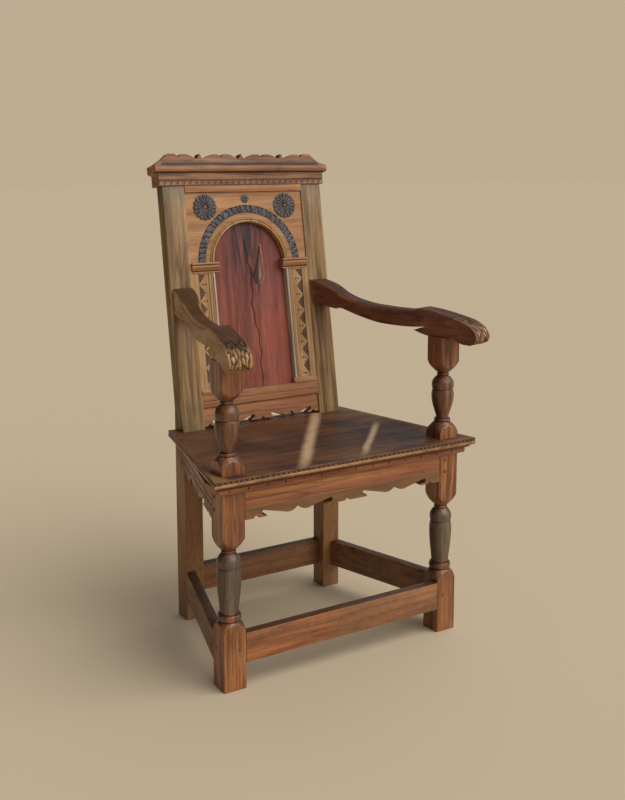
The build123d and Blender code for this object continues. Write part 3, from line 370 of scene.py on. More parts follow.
class Patina(Effect):
    """Broad stains, finer blotches and small scuffs."""

    title = "patina"
    takes = {"Vector": "NodeSocketVector", "Scale": "NodeSocketFloat"}
    gives = {"Stain": "NodeSocketFloat", "Blotch": "NodeSocketFloat", "Scuff": "NodeSocketFloat"}

    @classmethod
    def fill(cls, graph: Graph, inlet: bpy.types.Node) -> dict[str, Socket]:
        """Draw stains, blotches and scuffs.

        Args:
            graph: The group's nodes.
            inlet: The group's inputs.

        Returns:
            The group's outputs by name.
        """
        vector = graph.scale(inlet.outputs["Vector"], inlet.outputs["Scale"])
        return {
            "Stain": graph.spread(graph.noise(vector, 7.0, 3.0, 0.55, 0.6), 0.36, 0.66),
            "Blotch": graph.spread(graph.noise(vector, 26.0, 4.0, 0.6, 0.4), 0.34, 0.68),
            "Scuff": graph.spread(graph.noise(vector, 160.0, 3.0, 0.65), 0.58, 0.74),
        }


class EdgeWear(Effect):
    """Masks of rubbed convex edges and of darker concave hollows."""

    title = "edge_wear"
    takes = {"Vector": "NodeSocketVector"}
    gives = {"Rubbed": "NodeSocketFloat", "Concave": "NodeSocketFloat"}

    @classmethod
    def fill(cls, graph: Graph, inlet: bpy.types.Node) -> dict[str, Socket]:
        """Find the rubbed edges and the concave hollows, which are darkened.

        Args:
            graph: The group's nodes.
            inlet: The group's inputs.

        Returns:
            The group's outputs by name.
        """
        point = graph.node("NewGeometry").outputs["Pointiness"]
        breaks = graph.noise(inlet.outputs["Vector"], 60.0, 3.0, 0.6)
        convex = graph.spread(point, 0.53, 0.62)
        rubbed = graph.math("MULTIPLY", convex, graph.spread(breaks, 0.35, 0.6))
        return {"Rubbed": rubbed, "Concave": graph.spread(point, 0.49, 0.4)}


class OakGrainNormal(Effect):
    """The small relief of open pores, streaks and dents, as a normal."""

    title = "oak_grain_normal"
    takes = {
        "Streaks": "NodeSocketFloat",
        "Pores": "NodeSocketFloat",
        "Dents": "NodeSocketFloat",
        "Strength": "NodeSocketFloat",
    }
    gives = {"Normal": "NodeSocketVector"}

    @classmethod
    def fill(cls, graph: Graph, inlet: bpy.types.Node) -> dict[str, Socket]:
        """Turn the figure's masks into a normal.

        Args:
            graph: The group's nodes.
            inlet: The group's inputs.

        Returns:
            The group's outputs by name.
        """
        height = graph.math("MULTIPLY", inlet.outputs["Streaks"], 0.5)
        for name, depth in (("Pores", 0.7), ("Dents", 0.5)):
            sunk = graph.math("MULTIPLY", inlet.outputs[name], depth)
            height = graph.math("SUBTRACT", height, sunk)
        sockets = {"Strength": inlet.outputs["Strength"], "Distance": 0.0006, "Height": height}
        return {"Normal": graph.node("Bump", sockets).outputs["Normal"]}


# Finishes. The shades below multiply the wood's colour, and soot covers it.

BLOTCH_SHADE = (0.45, 0.4, 0.4, 1.0)
PORE_SHADE = (0.3, 0.25, 0.22, 1.0)
CONCAVE_DARKENING = (0.22, 0.17, 0.14, 1.0)
# Tint of the painted shade on faces that look up.
TOP_PAINTED_SHADE = (0.19, 0.15, 0.155, 1.0)
SOOT = (0.012, 0.010, 0.014, 1.0)


@dataclass(frozen=True)
class OakFinish:
    """Old oak: streaked colour, stains, worn edges and blackened carving."""

    name: str
    slot: str
    dark: Colour
    light: Colour
    stain: Colour
    grain: Grain = Grain.UPRIGHT
    coarseness: float = 1.0
    stain_share: float = 0.55
    blotch_share: float = 0.25
    line: Colour = srgb(64, 38, 28)
    line_share: float = 0.4
    second: Colour = srgb(110, 95, 80)
    carving: Colour = srgb(38, 30, 30)
    rubbed: Colour = srgb(190, 140, 90)
    rub_share: float = 0.5
    top_painted_shade: float = 0.0
    roughness: tuple[float, float] = (0.38, 0.6)
    coat: float = 0.12
    coat_roughness: float = 0.25
    relief: float = 0.5
    specular: float = 0.4
    rake: float = 0.0

    def paint(self, graph: Graph, place: Socket, wood: Socket) -> Socket:
        """Return the finish's own changes to the wood's colour, here none.

        Args:
            graph: The material's nodes; not used here.
            place: Coordinates in the frame's axes; not used here.
            wood: Colour of the wood so far.

        Returns:
            The colour that goes on to the carving and the wear.
        """
        return wood

    def build(self) -> bpy.types.Material:
        """Return the finish as a material, made on first use.

        Returns:
            The material, the same one on each call.
        """
        title = f"{self.name}_finish"
        found = bpy.data.materials.get(title)
        if found:
            return found
        material = bpy.data.materials.new(title)
        material.use_nodes = True
        material.node_tree.nodes.clear()
        graph = Graph(material.node_tree)
        place = graph.node("TexCoord").outputs["Object"]
        along = graph.tilt(place, self.rake)
        drawn = graph.vector("MULTIPLY", along, self.grain.value)
        figure = OakFigure.use(graph, {"Vector": drawn, "Coarseness": self.coarseness}).outputs
        drawn = graph.vector("MULTIPLY", along, tuple(level**0.4 for level in self.grain.value))
        patina = Patina.use(graph, {"Vector": drawn, "Scale": 1.0}).outputs
        normal = OakGrainNormal.use(
            graph,
            {
                "Streaks": figure["Streaks"],
                "Pores": figure["Pores"],
                "Dents": patina["Scuff"],
                "Strength": self.relief,
            },
        ).outputs["Normal"]
        shader = graph.node(
            "BsdfPrincipled",
            {
                "Base Color": self.colour(graph, place, figure, patina),
                "Roughness": self.rough(graph, figure, patina),
                "Normal": normal,
                "Coat Weight": self.coat,
                "Coat Roughness": self.coat_roughness,
            },
        )
        shader.inputs["Specular IOR Level"].default_value = self.specular
        graph.node("OutputMaterial", {"Surface": shader.outputs["BSDF"]})
        return material

    def colour(
        self,
        graph: Graph,
        place: Socket,
        figure: bpy.types.NodeOutputs,
        patina: bpy.types.NodeOutputs,
    ) -> Socket:
        """Return the wood's colour, from its heart to the wear and dirt on it, with painted shade
        and highlights.

        Args:
            graph: The material's nodes.
            place: Coordinates in the frame's axes.
            figure: Outputs of the oak figure.
            patina: Outputs of the patina.

        Returns:
            The colour.
        """
        edge = EdgeWear.use(graph, {"Vector": place}).outputs
        carved = graph.node("Attribute", attribute_name="carved").outputs["Fac"]
        tone = graph.node("Attribute", attribute_name="tone").outputs["Fac"]
        wood = graph.mix(figure["Streaks"], colour4(self.dark), colour4(self.light))
        stain = graph.math("MULTIPLY", patina["Stain"], self.stain_share)
        wood = graph.mix(stain, wood, colour4(self.stain))
        blotch = graph.math("MULTIPLY", patina["Blotch"], self.blotch_share)
        wood = graph.mix(blotch, wood, BLOTCH_SHADE, "MULTIPLY")
        wood = self.paint(graph, place, wood)
        shade = tuple(0.5 * level for level in self.second)
        second = graph.mix(figure["Streaks"], colour4(shade), colour4(self.second))
        wood = graph.mix(graph.math("MULTIPLY", tone, 0.9), wood, second)
        for mask, share, colour, blend in (
            (figure["Lines"], self.line_share, colour4(self.line), "MIX"),
            (figure["Pores"], 0.35, PORE_SHADE, "MULTIPLY"),
            (figure["Flecks"], 0.12, colour4(self.rubbed), "MIX"),
            (edge["Rubbed"], self.rub_share, colour4(self.rubbed), "MIX"),
            (carved, 0.92, colour4(self.carving), "MIX"),
            (edge["Concave"], 0.65, CONCAVE_DARKENING, "MULTIPLY"),
        ):
            wood = graph.mix(graph.math("MULTIPLY", mask, share), wood, colour, blend)
        # Faces that look up are darkened as painted shade.
        if self.top_painted_shade:
            facing = graph.axis(graph.node("NewGeometry").outputs["Normal"], "Z")
            lying = graph.math("MULTIPLY", graph.spread(facing, 0.7, 0.95), self.top_painted_shade)
            wood = graph.mix(lying, wood, TOP_PAINTED_SHADE, "MULTIPLY")
        return wood

    def rough(
        self, graph: Graph, figure: bpy.types.NodeOutputs, patina: bpy.types.NodeOutputs
    ) -> Socket:
        """Return the wood's roughness: uneven wax over open pores.

        Args:
            graph: The material's nodes.
            figure: Outputs of the oak figure.
            patina: Outputs of the patina.

        Returns:
            The roughness.
        """
        low, high = self.roughness
        wax = graph.spread(patina["Blotch"], 0.0, 1.0, low, high)
        return graph.math("ADD", wax, graph.math("MULTIPLY", figure["Pores"], 0.12), clamp=True)


@dataclass(frozen=True)
class SeatFinish(OakFinish):
    """Dark waxed seat, tan at its left edge, with two pale slanting streaks of painted sheen.

    A streak is written as the two numbers of its direction across, the distance of its middle,
    half its width, half its length and its share.
    """

    # Colour of the streaks, a painted sheen of the seat's polish.
    worn: Colour = srgb(200, 170, 132)
    tan: Colour = srgb(150, 108, 68)
    edge: Colour = srgb(96, 66, 44)
    left_edge: tuple[float, float, float] = (-0.9771, -0.2128, 0.0)
    streaks: tuple[tuple[float, ...], ...] = (
        (0.819, -0.574, 0.030, 0.017, 0.34, 0.85),
        (0.758, -0.652, 0.163, 0.011, 0.17, 0.75),
    )

    def paint(self, graph: Graph, place: Socket, wood: Socket) -> Socket:
        """Lay the streaks of painted sheen, the soot and the tan edge over the seat's colour.

        Args:
            graph: The material's nodes.
            place: Coordinates in the frame's axes.
            wood: Colour of the wood so far.

        Returns:
            The seat's colour.
        """
        ragged = graph.math("SUBTRACT", graph.noise(place, 26.0, 3.0, 0.6), 0.5)
        ragged = graph.math("MULTIPLY", ragged, 0.016)
        wavering = graph.math("MULTIPLY", ragged, 0.45)
        normal = graph.node("NewGeometry").outputs["Normal"]
        top = graph.spread(graph.axis(normal, "Z"), 0.8, 0.95)
        soot = graph.spread(graph.noise(place, 5.0, 2.0, 0.5, 0.5), 0.45, 0.62, 0.0, 0.6)
        wood = graph.mix(soot, wood, SOOT)
        # Each streak is a painted sheen, laid as pale colour on the top.
        for x, y, middle, half, reach, share in self.streaks:
            across = graph.math("ADD", graph.dot(place, (x, y, 0.0)), wavering)
            off = graph.math("ABSOLUTE", graph.math("SUBTRACT", across, middle))
            along = graph.math("ABSOLUTE", graph.dot(place, (-y, x, 0.0)))
            mask = graph.math("MULTIPLY", graph.spread(off, half * 1.1, half * 0.1), top)
            mask = graph.math("MULTIPLY", mask, graph.spread(along, reach, reach * 0.4))
            wood = graph.mix(graph.math("MULTIPLY", mask, share), wood, colour4(self.worn))
        flank = graph.math("ADD", graph.dot(place, self.left_edge), ragged)
        flank = graph.math("MULTIPLY", graph.spread(flank, 0.318, 0.338), top)
        wood = graph.mix(graph.math("MULTIPLY", flank, 0.75), wood, colour4(self.tan))
        side = graph.math("SUBTRACT", 1.0, top)
        return graph.mix(graph.math("MULTIPLY", side, 0.9), wood, colour4(self.edge))


@dataclass(frozen=True)
class PanelFinish(OakFinish):
    """Deep red panel with a darker crack and sooty streaks down its middle, and a painted sheen at
    its lower right.
    """

    soot: Colour = srgb(44, 26, 28)
    glow: Colour = srgb(182, 100, 80)
    streak_middle: float = 0.0
    streak_half: float = 0.05

    def paint(self, graph: Graph, place: Socket, wood: Socket) -> Socket:
        """Lay the dark streaks and the paler right half, a painted sheen, over the panel's colour.

        Args:
            graph: The material's nodes.
            place: Coordinates in the frame's axes.
            wood: Colour of the wood so far.

        Returns:
            The panel's colour.
        """
        along = graph.tilt(place, self.rake)
        drawn = graph.vector("MULTIPLY", along, (1.0, 1.0, 0.12))
        wisps = graph.noise(drawn, 46.0, 4.0, 0.62, 0.8)
        across = graph.axis(place, "X")
        height = graph.axis(place, "Z")
        off = graph.math("ABSOLUTE", graph.math("SUBTRACT", across, self.streak_middle))
        near = graph.spread(off, self.streak_half * 1.6, self.streak_half * 0.2)
        upper = graph.spread(height, 0.66, 0.86, 0.35, 1.0)
        dark = graph.math("MULTIPLY", near, upper)
        dark = graph.math("MULTIPLY", dark, graph.spread(wisps, 0.38, 0.6))
        # The pale patch over the lower right is a painted sheen.
        pale = graph.spread(graph.noise(drawn, 12.0, 2.0, 0.5), 0.38, 0.68, 0.05, 0.7)
        pale = graph.math("MULTIPLY", pale, graph.spread(across, -0.05, 0.03, 0.45, 1.0))
        pale = graph.math("MULTIPLY", pale, graph.spread(height, 0.86, 0.66))
        wood = graph.mix(pale, wood, colour4(self.glow))
        return graph.mix(dark, wood, colour4(self.soot))


@dataclass(frozen=True)
class BandedFinish(OakFinish):
    """Oak whose colour changes in level bands up the piece."""

    bands: tuple[tuple[float, float, Colour], ...] = ()
    share: float = 0.7
    blur: float = 1.2 * MM

    def paint(self, graph: Graph, place: Socket, wood: Socket) -> Socket:
        """Lay each band over the wood's colour.

        Args:
            graph: The material's nodes.
            place: Coordinates in the frame's axes.
            wood: Colour of the wood so far.

        Returns:
            The banded colour.
        """
        height = graph.axis(place, "Z")
        for low, high, colour in self.bands:
            over = graph.spread(height, low, low + self.blur)
            under = graph.spread(height, high + self.blur, high)
            inside = graph.math("MULTIPLY", over, under)
            wood = graph.mix(graph.math("MULTIPLY", inside, self.share), wood, colour4(colour))
        return wood


@dataclass(frozen=True)
class PostFinish(OakFinish):
    """Back post: khaki above the seat, warmer below, green with damp at foot and head."""

    lower: Colour = srgb(152, 104, 62)
    damp: Colour = srgb(92, 96, 76)
    damp_spots: tuple[tuple[float, float], ...] = ((0.475, 0.05), (0.985, 0.06), (0.0, 0.06))

    def paint(self, graph: Graph, place: Socket, wood: Socket) -> Socket:
        """Lay the warmer leg and the damp patches over the post's colour.

        Args:
            graph: The material's nodes.
            place: Coordinates in the frame's axes.
            wood: Colour of the wood so far.

        Returns:
            The post's colour.
        """
        height = graph.axis(place, "Z")
        below = graph.spread(height, 0.45, 0.42, 0.0, 0.75)
        wood = graph.mix(below, wood, colour4(self.lower))
        patches = graph.spread(graph.noise(place, 17.0, 3.0, 0.6), 0.38, 0.6)
        for middle, reach in self.damp_spots:
            off = graph.math("ABSOLUTE", graph.math("SUBTRACT", height, middle))
            mask = graph.math("MULTIPLY", graph.spread(off, reach, reach * 0.2), patches)
            wood = graph.mix(graph.math("MULTIPLY", mask, 0.6), wood, colour4(self.damp))
        return wood


@dataclass(frozen=True)
class PaperFinish:
    """Plain pale ground, the same for the floor and what is seen past it."""

    name: str = "studio_paper"
    colour: Colour = srgb(190, 173, 147)

    def build(self) -> bpy.types.Material:
        """Return the ground as a material.

        Returns:
            The material.
        """
        material = bpy.data.materials.new(self.name)
        material.use_nodes = True
        material.node_tree.nodes.clear()
        graph = Graph(material.node_tree)
        sockets = {"Base Color": colour4(self.colour), "Roughness": 0.95}
        shader = graph.node("BsdfPrincipled", sockets)
        shader.inputs["Specular IOR Level"].default_value = 0.0
        graph.node("OutputMaterial", {"Surface": shader.outputs["BSDF"]})
        return material


@dataclass(frozen=True)
class Finishes:
    """Every finish of the chair."""

    turned: OakFinish = OakFinish(
        "turned_oak", "turned_oak", srgb(98, 56, 34), srgb(186, 122, 70), srgb(118, 68, 42),
        coarseness=1.1, second=srgb(118, 108, 88), coat=0.35, coat_roughness=0.16,
        roughness=(0.32, 0.5), rub_share=0.35, line_share=0.6, carving=srgb(40, 26, 24),
    )
    post: PostFinish = PostFinish(
        "back_post_oak", "back_post_oak", srgb(100, 70, 38), srgb(174, 136, 84), srgb(124, 98, 56),
        coarseness=0.7, stain_share=0.4, rub_share=0.4, line=srgb(84, 58, 34), line_share=0.55,
        rake=BACK_RAKE,
    )
    seat: SeatFinish = SeatFinish(
        "seat_oak", "seat_oak", srgb(86, 57, 35), srgb(114, 77, 47), srgb(98, 56, 40),
        grain=Grain.ACROSS, coarseness=0.5, coat=0.06, roughness=(0.42, 0.6), relief=0.25,
        line_share=0.2, specular=0.22,
    )
    rail: BandedFinish = BandedFinish(
        "rail_oak", "rail_oak", srgb(132, 78, 44), srgb(190, 128, 76), srgb(150, 90, 54),
        grain=Grain.ACROSS, rub_share=0.35,
        bands=((0.3765, 0.389, srgb(142, 78, 50)), (0.0, 0.3745, srgb(96, 73, 45))), share=0.66,
    )
    stretcher: OakFinish = OakFinish(
        "stretcher_oak", "stretcher_oak", srgb(120, 66, 40), srgb(182, 114, 68), srgb(116, 90, 62),
        grain=Grain.ACROSS, coarseness=0.7, top_painted_shade=0.85, rub_share=0.3,
    )
    side_stretcher: OakFinish = OakFinish(
        "side_stretcher_oak", "stretcher_oak",
        srgb(110, 66, 42), srgb(172, 114, 72), srgb(112, 88, 62),
        grain=Grain.DEPTH, coarseness=0.7, top_painted_shade=0.85, rub_share=0.3,
    )
    moulding: OakFinish = OakFinish(
        "moulding_oak", "moulding_oak", srgb(128, 72, 48), srgb(176, 110, 72), srgb(146, 84, 56),
        grain=Grain.ACROSS, rub_share=0.5, line_share=0.25,
    )
    edge: OakFinish = OakFinish(
        "seat_edge_oak", "seat_oak", srgb(118, 80, 48), srgb(168, 122, 76), srgb(120, 82, 50),
        grain=Grain.ACROSS, rub_share=0.4, line_share=0.2,
    )
    tooth: OakFinish = OakFinish(
        "seat_tooth_oak", "seat_oak", srgb(82, 54, 34), srgb(128, 88, 56), srgb(90, 58, 38),
        grain=Grain.ACROSS, rub_share=0.3, line_share=0.2,
    )
    left_arm: OakFinish = OakFinish(
        "left_arm_oak", "arm_oak", srgb(156, 110, 66), srgb(188, 142, 90), srgb(160, 114, 70),
        grain=Grain.DEPTH, coarseness=0.6, second=srgb(206, 160, 104), carving=srgb(36, 22, 20),
        top_painted_shade=1.0, coat=0.08, roughness=(0.42, 0.58), rub_share=0.1, line_share=0.1,
        specular=0.25,
    )
    right_arm: OakFinish = OakFinish(
        "right_arm_oak", "arm_oak", srgb(96, 52, 36), srgb(144, 86, 56), srgb(106, 62, 44),
        grain=Grain.DEPTH, coarseness=0.6, second=srgb(206, 160, 104), carving=srgb(36, 22, 20),
        top_painted_shade=0.75, coat=0.12, roughness=(0.4, 0.56), rub_share=0.2, line_share=0.35,
        specular=0.3,
    )
    crest: OakFinish = OakFinish(
        "crest_oak", "crest_oak", srgb(110, 70, 42), srgb(172, 120, 76), srgb(118, 74, 46),
        grain=Grain.ACROSS, carving=srgb(52, 34, 22), rub_share=0.4, rake=BACK_RAKE,
    )
    arcade: OakFinish = OakFinish(
        "arcade_oak", "arcade_oak", srgb(152, 104, 60), srgb(190, 142, 90), srgb(160, 106, 64),
        grain=Grain.ACROSS, coarseness=0.5, carving=srgb(54, 42, 36), rub_share=0.3,
        line_share=0.14, rake=BACK_RAKE,
    )
    pilaster: OakFinish = OakFinish(
        "pilaster_oak", "arcade_oak", srgb(160, 118, 72), srgb(200, 160, 108), srgb(166, 120, 76),
        carving=srgb(56, 44, 38), second=srgb(214, 206, 190), rub_share=0.3, line_share=0.15,
        rake=BACK_RAKE,
    )
    back_rail: OakFinish = OakFinish(
        "back_rail_oak", "arcade_oak", srgb(144, 92, 54), srgb(190, 132, 82), srgb(146, 86, 56),
        grain=Grain.ACROSS, rub_share=0.3, rake=BACK_RAKE,
    )
    panel: PanelFinish = PanelFinish(
        "panel_oak", "panel_oak", srgb(88, 36, 26), srgb(152, 72, 50), srgb(112, 46, 34),
        coarseness=0.8, carving=srgb(30, 22, 24), second=srgb(206, 150, 122),
        rubbed=srgb(170, 120, 92), stain_share=0.35, blotch_share=0.12, rub_share=0.1,
        roughness=(0.3, 0.46), coat=0.3, line_share=0.3, line=srgb(58, 26, 26), rake=BACK_RAKE,
    )
    carving: OakFinish = OakFinish(
        "carving_oak", "carving_oak", srgb(60, 54, 58), srgb(118, 110, 112), srgb(88, 76, 72),
        carving=srgb(30, 26, 30), rubbed=srgb(150, 142, 148), second=srgb(160, 100, 62),
        rub_share=0.6, coarseness=1.5, coat=0.2, line_share=0.2,
    )
    peg: OakFinish = OakFinish(
        "peg_oak", "peg_oak", srgb(64, 38, 28), srgb(104, 66, 46), srgb(66, 42, 32),
        coarseness=2.0, rub_share=0.3,
    )


# Places and meshes


@dataclass(frozen=True)
class Place:
    """A flat working plane: x across it, y up it and z out of it."""

    origin: Vector
    across: Vector
    up: Vector
    out: Vector

    def at(self, x: float, y: float, z: float = 0.0) -> Vector:
        """Return a point of the plane in the frame's axes."""
        return self.origin + self.across * x + self.up * y + self.out * z

    def grid(self, x: np.ndarray, y: np.ndarray, z: np.ndarray) -> np.ndarray:
        """Return arrays of points of the plane in the frame's axes.

        Args:
            x: Distances across the plane.
            y: Distances up it.
            z: Heights over it.

        Returns:
            The points, three numbers each along the last axis.
        """
        parts = [
            self.origin[axis] + self.across[axis] * x + self.up[axis] * y + self.out[axis] * z
            for axis in range(3)
        ]
        return np.stack(parts, axis=-1)


@dataclass
class Skin:
    """Vertices, faces and painted masks, gathered for one mesh."""

    points: list[tuple[float, float, float]] = field(default_factory=list)
    faces: list[tuple[int, ...]] = field(default_factory=list)
    carved: list[float] = field(default_factory=list)
    tone: list[float] = field(default_factory=list)

    def add_grid(
        self,
        grid: np.ndarray,
        carved: np.ndarray | None = None,
        tone: np.ndarray | None = None,
        around: bool = False,
        capped: bool = False,
    ) -> None:
        """Add a grid of quads.

        Args:
            grid: Points as rows, columns and three numbers each.
            carved: How dark each point is, from 0 to 1: in a carved hollow, and on some pieces as
                painted shade.
            tone: Share of the finish's second colour at each point, from 0 to 1.
            around: Whether the last column joins the first.
            capped: Whether the first and last rows are closed with a face.
        """
        rows, columns = grid.shape[:2]
        start = len(self.points)
        self.points.extend(map(tuple, grid.reshape(-1, 3)))
        blank = np.zeros((rows, columns))
        self.carved.extend((blank if carved is None else carved).ravel())
        self.tone.extend((blank if tone is None else tone).ravel())
        last = columns if around else columns - 1
        for row in range(rows - 1):
            for column in range(last):
                after = (column + 1) % columns
                here = start + row * columns
                above = here + columns
                self.faces.append((here + column, here + after, above + after, above + column))
        if capped:
            self.faces.append(tuple(range(start, start + columns)))
            end = start + (rows - 1) * columns
            self.faces.append(tuple(reversed(range(end, end + columns))))

    def build(self, name: str, finish: OakFinish, sharp: float = 38.0) -> bpy.types.Object:
        """Make the mesh object.

        Args:
            name: Name of the piece.
            finish: Its finish.
            sharp: Angle in degrees over which an edge stays crisp.

        Returns:
            The new object, in the scene.
        """
        mesh = bpy.data.meshes.new(name)
        mesh.from_pydata([tuple(map(float, point)) for point in self.points], [], self.faces)
        for label, values in (("carved", self.carved), ("tone", self.tone)):
            layer = mesh.attributes.new(label, "FLOAT", "POINT")
            layer.data.foreach_set("value", np.array(values, np.float32))
        shape = bmesh.new()
        shape.from_mesh(mesh)
        bmesh.ops.remove_doubles(shape, verts=shape.verts, dist=MERGE_DISTANCE)
        bmesh.ops.recalc_face_normals(shape, faces=shape.faces)
        shape.to_mesh(mesh)
        shape.free()
        return place_mesh(name, mesh, finish, sharp)


def place_mesh(
    name: str, mesh: bpy.types.Mesh, finish: OakFinish, sharp: float
) -> bpy.types.Object:
    """Put a mesh in the scene as a piece that rides on the chair.

    A face stays flat where it has many corners, or where smooth shading would lean far off it.

    Args:
        name: Name of the piece.
        mesh: Its mesh.
        finish: Its finish.
        sharp: Angle in degrees over which an edge stays crisp.

    Returns:
        The new object.
    """
    mesh.shade_smooth()
    mesh.set_sharp_from_angle(angle=math.radians(sharp))
    normals = np.empty(len(mesh.loops) * 3, np.float32)
    mesh.corner_normals.foreach_get("vector", normals)
    facing = np.empty(len(mesh.polygons) * 3, np.float32)
    mesh.polygons.foreach_get("normal", facing)
    corners = np.empty(len(mesh.polygons), np.int32)
    mesh.polygons.foreach_get("loop_total", corners)
    facing = np.repeat(facing.reshape(-1, 3), corners, axis=0)
    agreement = np.sum(normals.reshape(-1, 3) * facing, axis=1)
    worst = np.minimum.reduceat(agreement, np.concatenate([[0], np.cumsum(corners)[:-1]]))
    mesh.polygons.foreach_set("use_smooth", (corners <= MOST_CORNERS) & (worst > LEAST_AGREEMENT))
    mesh.materials.append(finish.build())
    piece = bpy.data.objects.new(name, mesh)
    bpy.context.scene.collection.objects.link(piece)
    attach(piece, "root")
    return piece


def worn_copy(node: str, name: str, finish: OakFinish, width: float) -> bpy.types.Object:
    """Make a piece like a node of the frame, with its edges rubbed round.

    Args:
        node: The node that the piece stands for.
        name: Name of the piece.
        finish: Its finish.
        width: Width of the rubbed edges.

    Returns:
        The new object, which replaces the node.
    """
    mesh = bpy.data.meshes.new(name)
    shape = bmesh.new()
    shape.from_mesh(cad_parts[node].data)
    bmesh.ops.remove_doubles(shape, verts=shape.verts, dist=MERGE_DISTANCE)
    bmesh.ops.dissolve_limit(shape, angle_limit=FLAT_ANGLE, verts=shape.verts, edges=shape.edges)
    edges = [
        edge
        for edge in shape.edges
        if edge.is_manifold and edge.is_convex and edge.calc_face_angle(0.0) > CRISP_ANGLE
    ]
    bmesh.ops.bevel(
        shape,
        geom=edges,
        offset=width,
        segments=2,
        profile=0.55,
        affect="EDGES",
        clamp_overlap=True,
    )
    shape.to_mesh(mesh)
    shape.free()
    mesh.materials.clear()
    piece = place_mesh(name, mesh, finish, WORN_SHARP)
    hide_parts(node)
    return piece


def relief_block(
    skin: Skin,
    place: Place,
    x_span: tuple[float, float],
    y_span: tuple[float, float],
    back: float,
    relief: Relief,
    pitch: float,
) -> None:
    """Add a rectangular block whose face is carved.

    Args:
        skin: The mesh that takes the block.
        place: The plane that the block lies on.
        x_span: Its left and right edges.
        y_span: Its bottom and top edges.
        back: Height of its flat back over the plane.
        relief: Gives the height of its face and its carved mask at each point.
        pitch: Distance between the points of its face.
    """
    columns = max(2, round((x_span[1] - x_span[0]) / pitch) + 1)
    rows = max(2, round((y_span[1] - y_span[0]) / pitch) + 1)
    x, y = np.meshgrid(np.linspace(*x_span, columns), np.linspace(*y_span, rows))
    height, carved = relief(x, y)
    level = np.full(x.shape, back)
    grid = place.grid(x, y, height)
    rear = place.grid(x, y, level)
    skin.add_grid(grid, carved)
    for front_edge, rear_edge, shade in (
        (grid[0], rear[0], carved[0]),
        (grid[-1], rear[-1], carved[-1]),
        (grid[:, 0], rear[:, 0], carved[:, 0]),
        (grid[:, -1], rear[:, -1], carved[:, -1]),
    ):
        skin.add_grid(np.stack([front_edge, rear_edge]), np.stack([shade, shade * 0]))
    outline = np.concatenate([rear[0], rear[1:, -1], rear[-1, -2::-1], rear[-2:0:-1, 0]])
    start = len(skin.points)
    skin.points.extend(map(tuple, outline))
    skin.carved.extend([0.0] * len(outline))
    skin.tone.extend([0.0] * len(outline))
    skin.faces.append(tuple(range(start, start + len(outline))))


# Facts of the frame

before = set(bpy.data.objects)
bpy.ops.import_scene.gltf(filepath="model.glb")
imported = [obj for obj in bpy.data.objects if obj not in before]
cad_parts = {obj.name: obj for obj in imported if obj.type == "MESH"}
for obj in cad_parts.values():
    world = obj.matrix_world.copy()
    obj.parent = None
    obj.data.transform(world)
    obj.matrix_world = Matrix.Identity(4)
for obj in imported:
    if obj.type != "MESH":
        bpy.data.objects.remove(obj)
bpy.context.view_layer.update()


@dataclass(frozen=True)
class ChairFrame:
    """Planes and places that the pieces share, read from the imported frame."""

    rake: float = BACK_RAKE
    arm_rear_across: float = 180.5 * MM
    arm_rear_height: float = 735.0 * MM
    front_post_half: float = 25.0 * MM
    front_post_x: float = field(
        default_factory=lambda: sum(corner.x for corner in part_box("front_post_right")) / 2
    )
    front_y: float = field(default_factory=lambda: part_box("front_post_right")[0].y)
    back_y: float = field(default_factory=lambda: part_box("rear_post_right")[0].y)
    seat_height: float = field(default_factory=lambda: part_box("seat_board")[1].z)

    @property
    def back(self) -> Place:
        """Return the raked plane of the back.

        Returns:
            The plane, x across it, y up its slope and z to the sitter.
        """
        lean, rise = math.sin(self.rake), math.cos(self.rake)
        origin = Vector((0.0, self.back_y, self.seat_height))
        return Place(origin, Vector((1, 0, 0)), Vector((0, lean, rise)), Vector((0, -rise, lean)))

    def arm(self, side: Side) -> Place:
        """Return the upright plane down the middle of an arm.

        Args:
            side: The side that the arm is on.

        Returns:
            The plane, x from the back post to the hand and y up.
        """
        rear_u = (self.arm_rear_height - self.seat_height) / math.cos(self.rake)
        rear = self.back.at(side.value * self.arm_rear_across, rear_u)
        post_y = self.front_y + self.front_post_half
        reach = rear.y - post_y
        turn = math.atan2(self.front_post_x - self.arm_rear_across, reach)
        along = Vector((side.value * math.sin(turn), -math.cos(turn), 0))
        across = Vector((math.cos(turn), side.value * math.sin(turn), 0))
        return Place(Vector((rear.x, rear.y, 0)), along, Vector((0, 0, 1)), across)


# Front posts


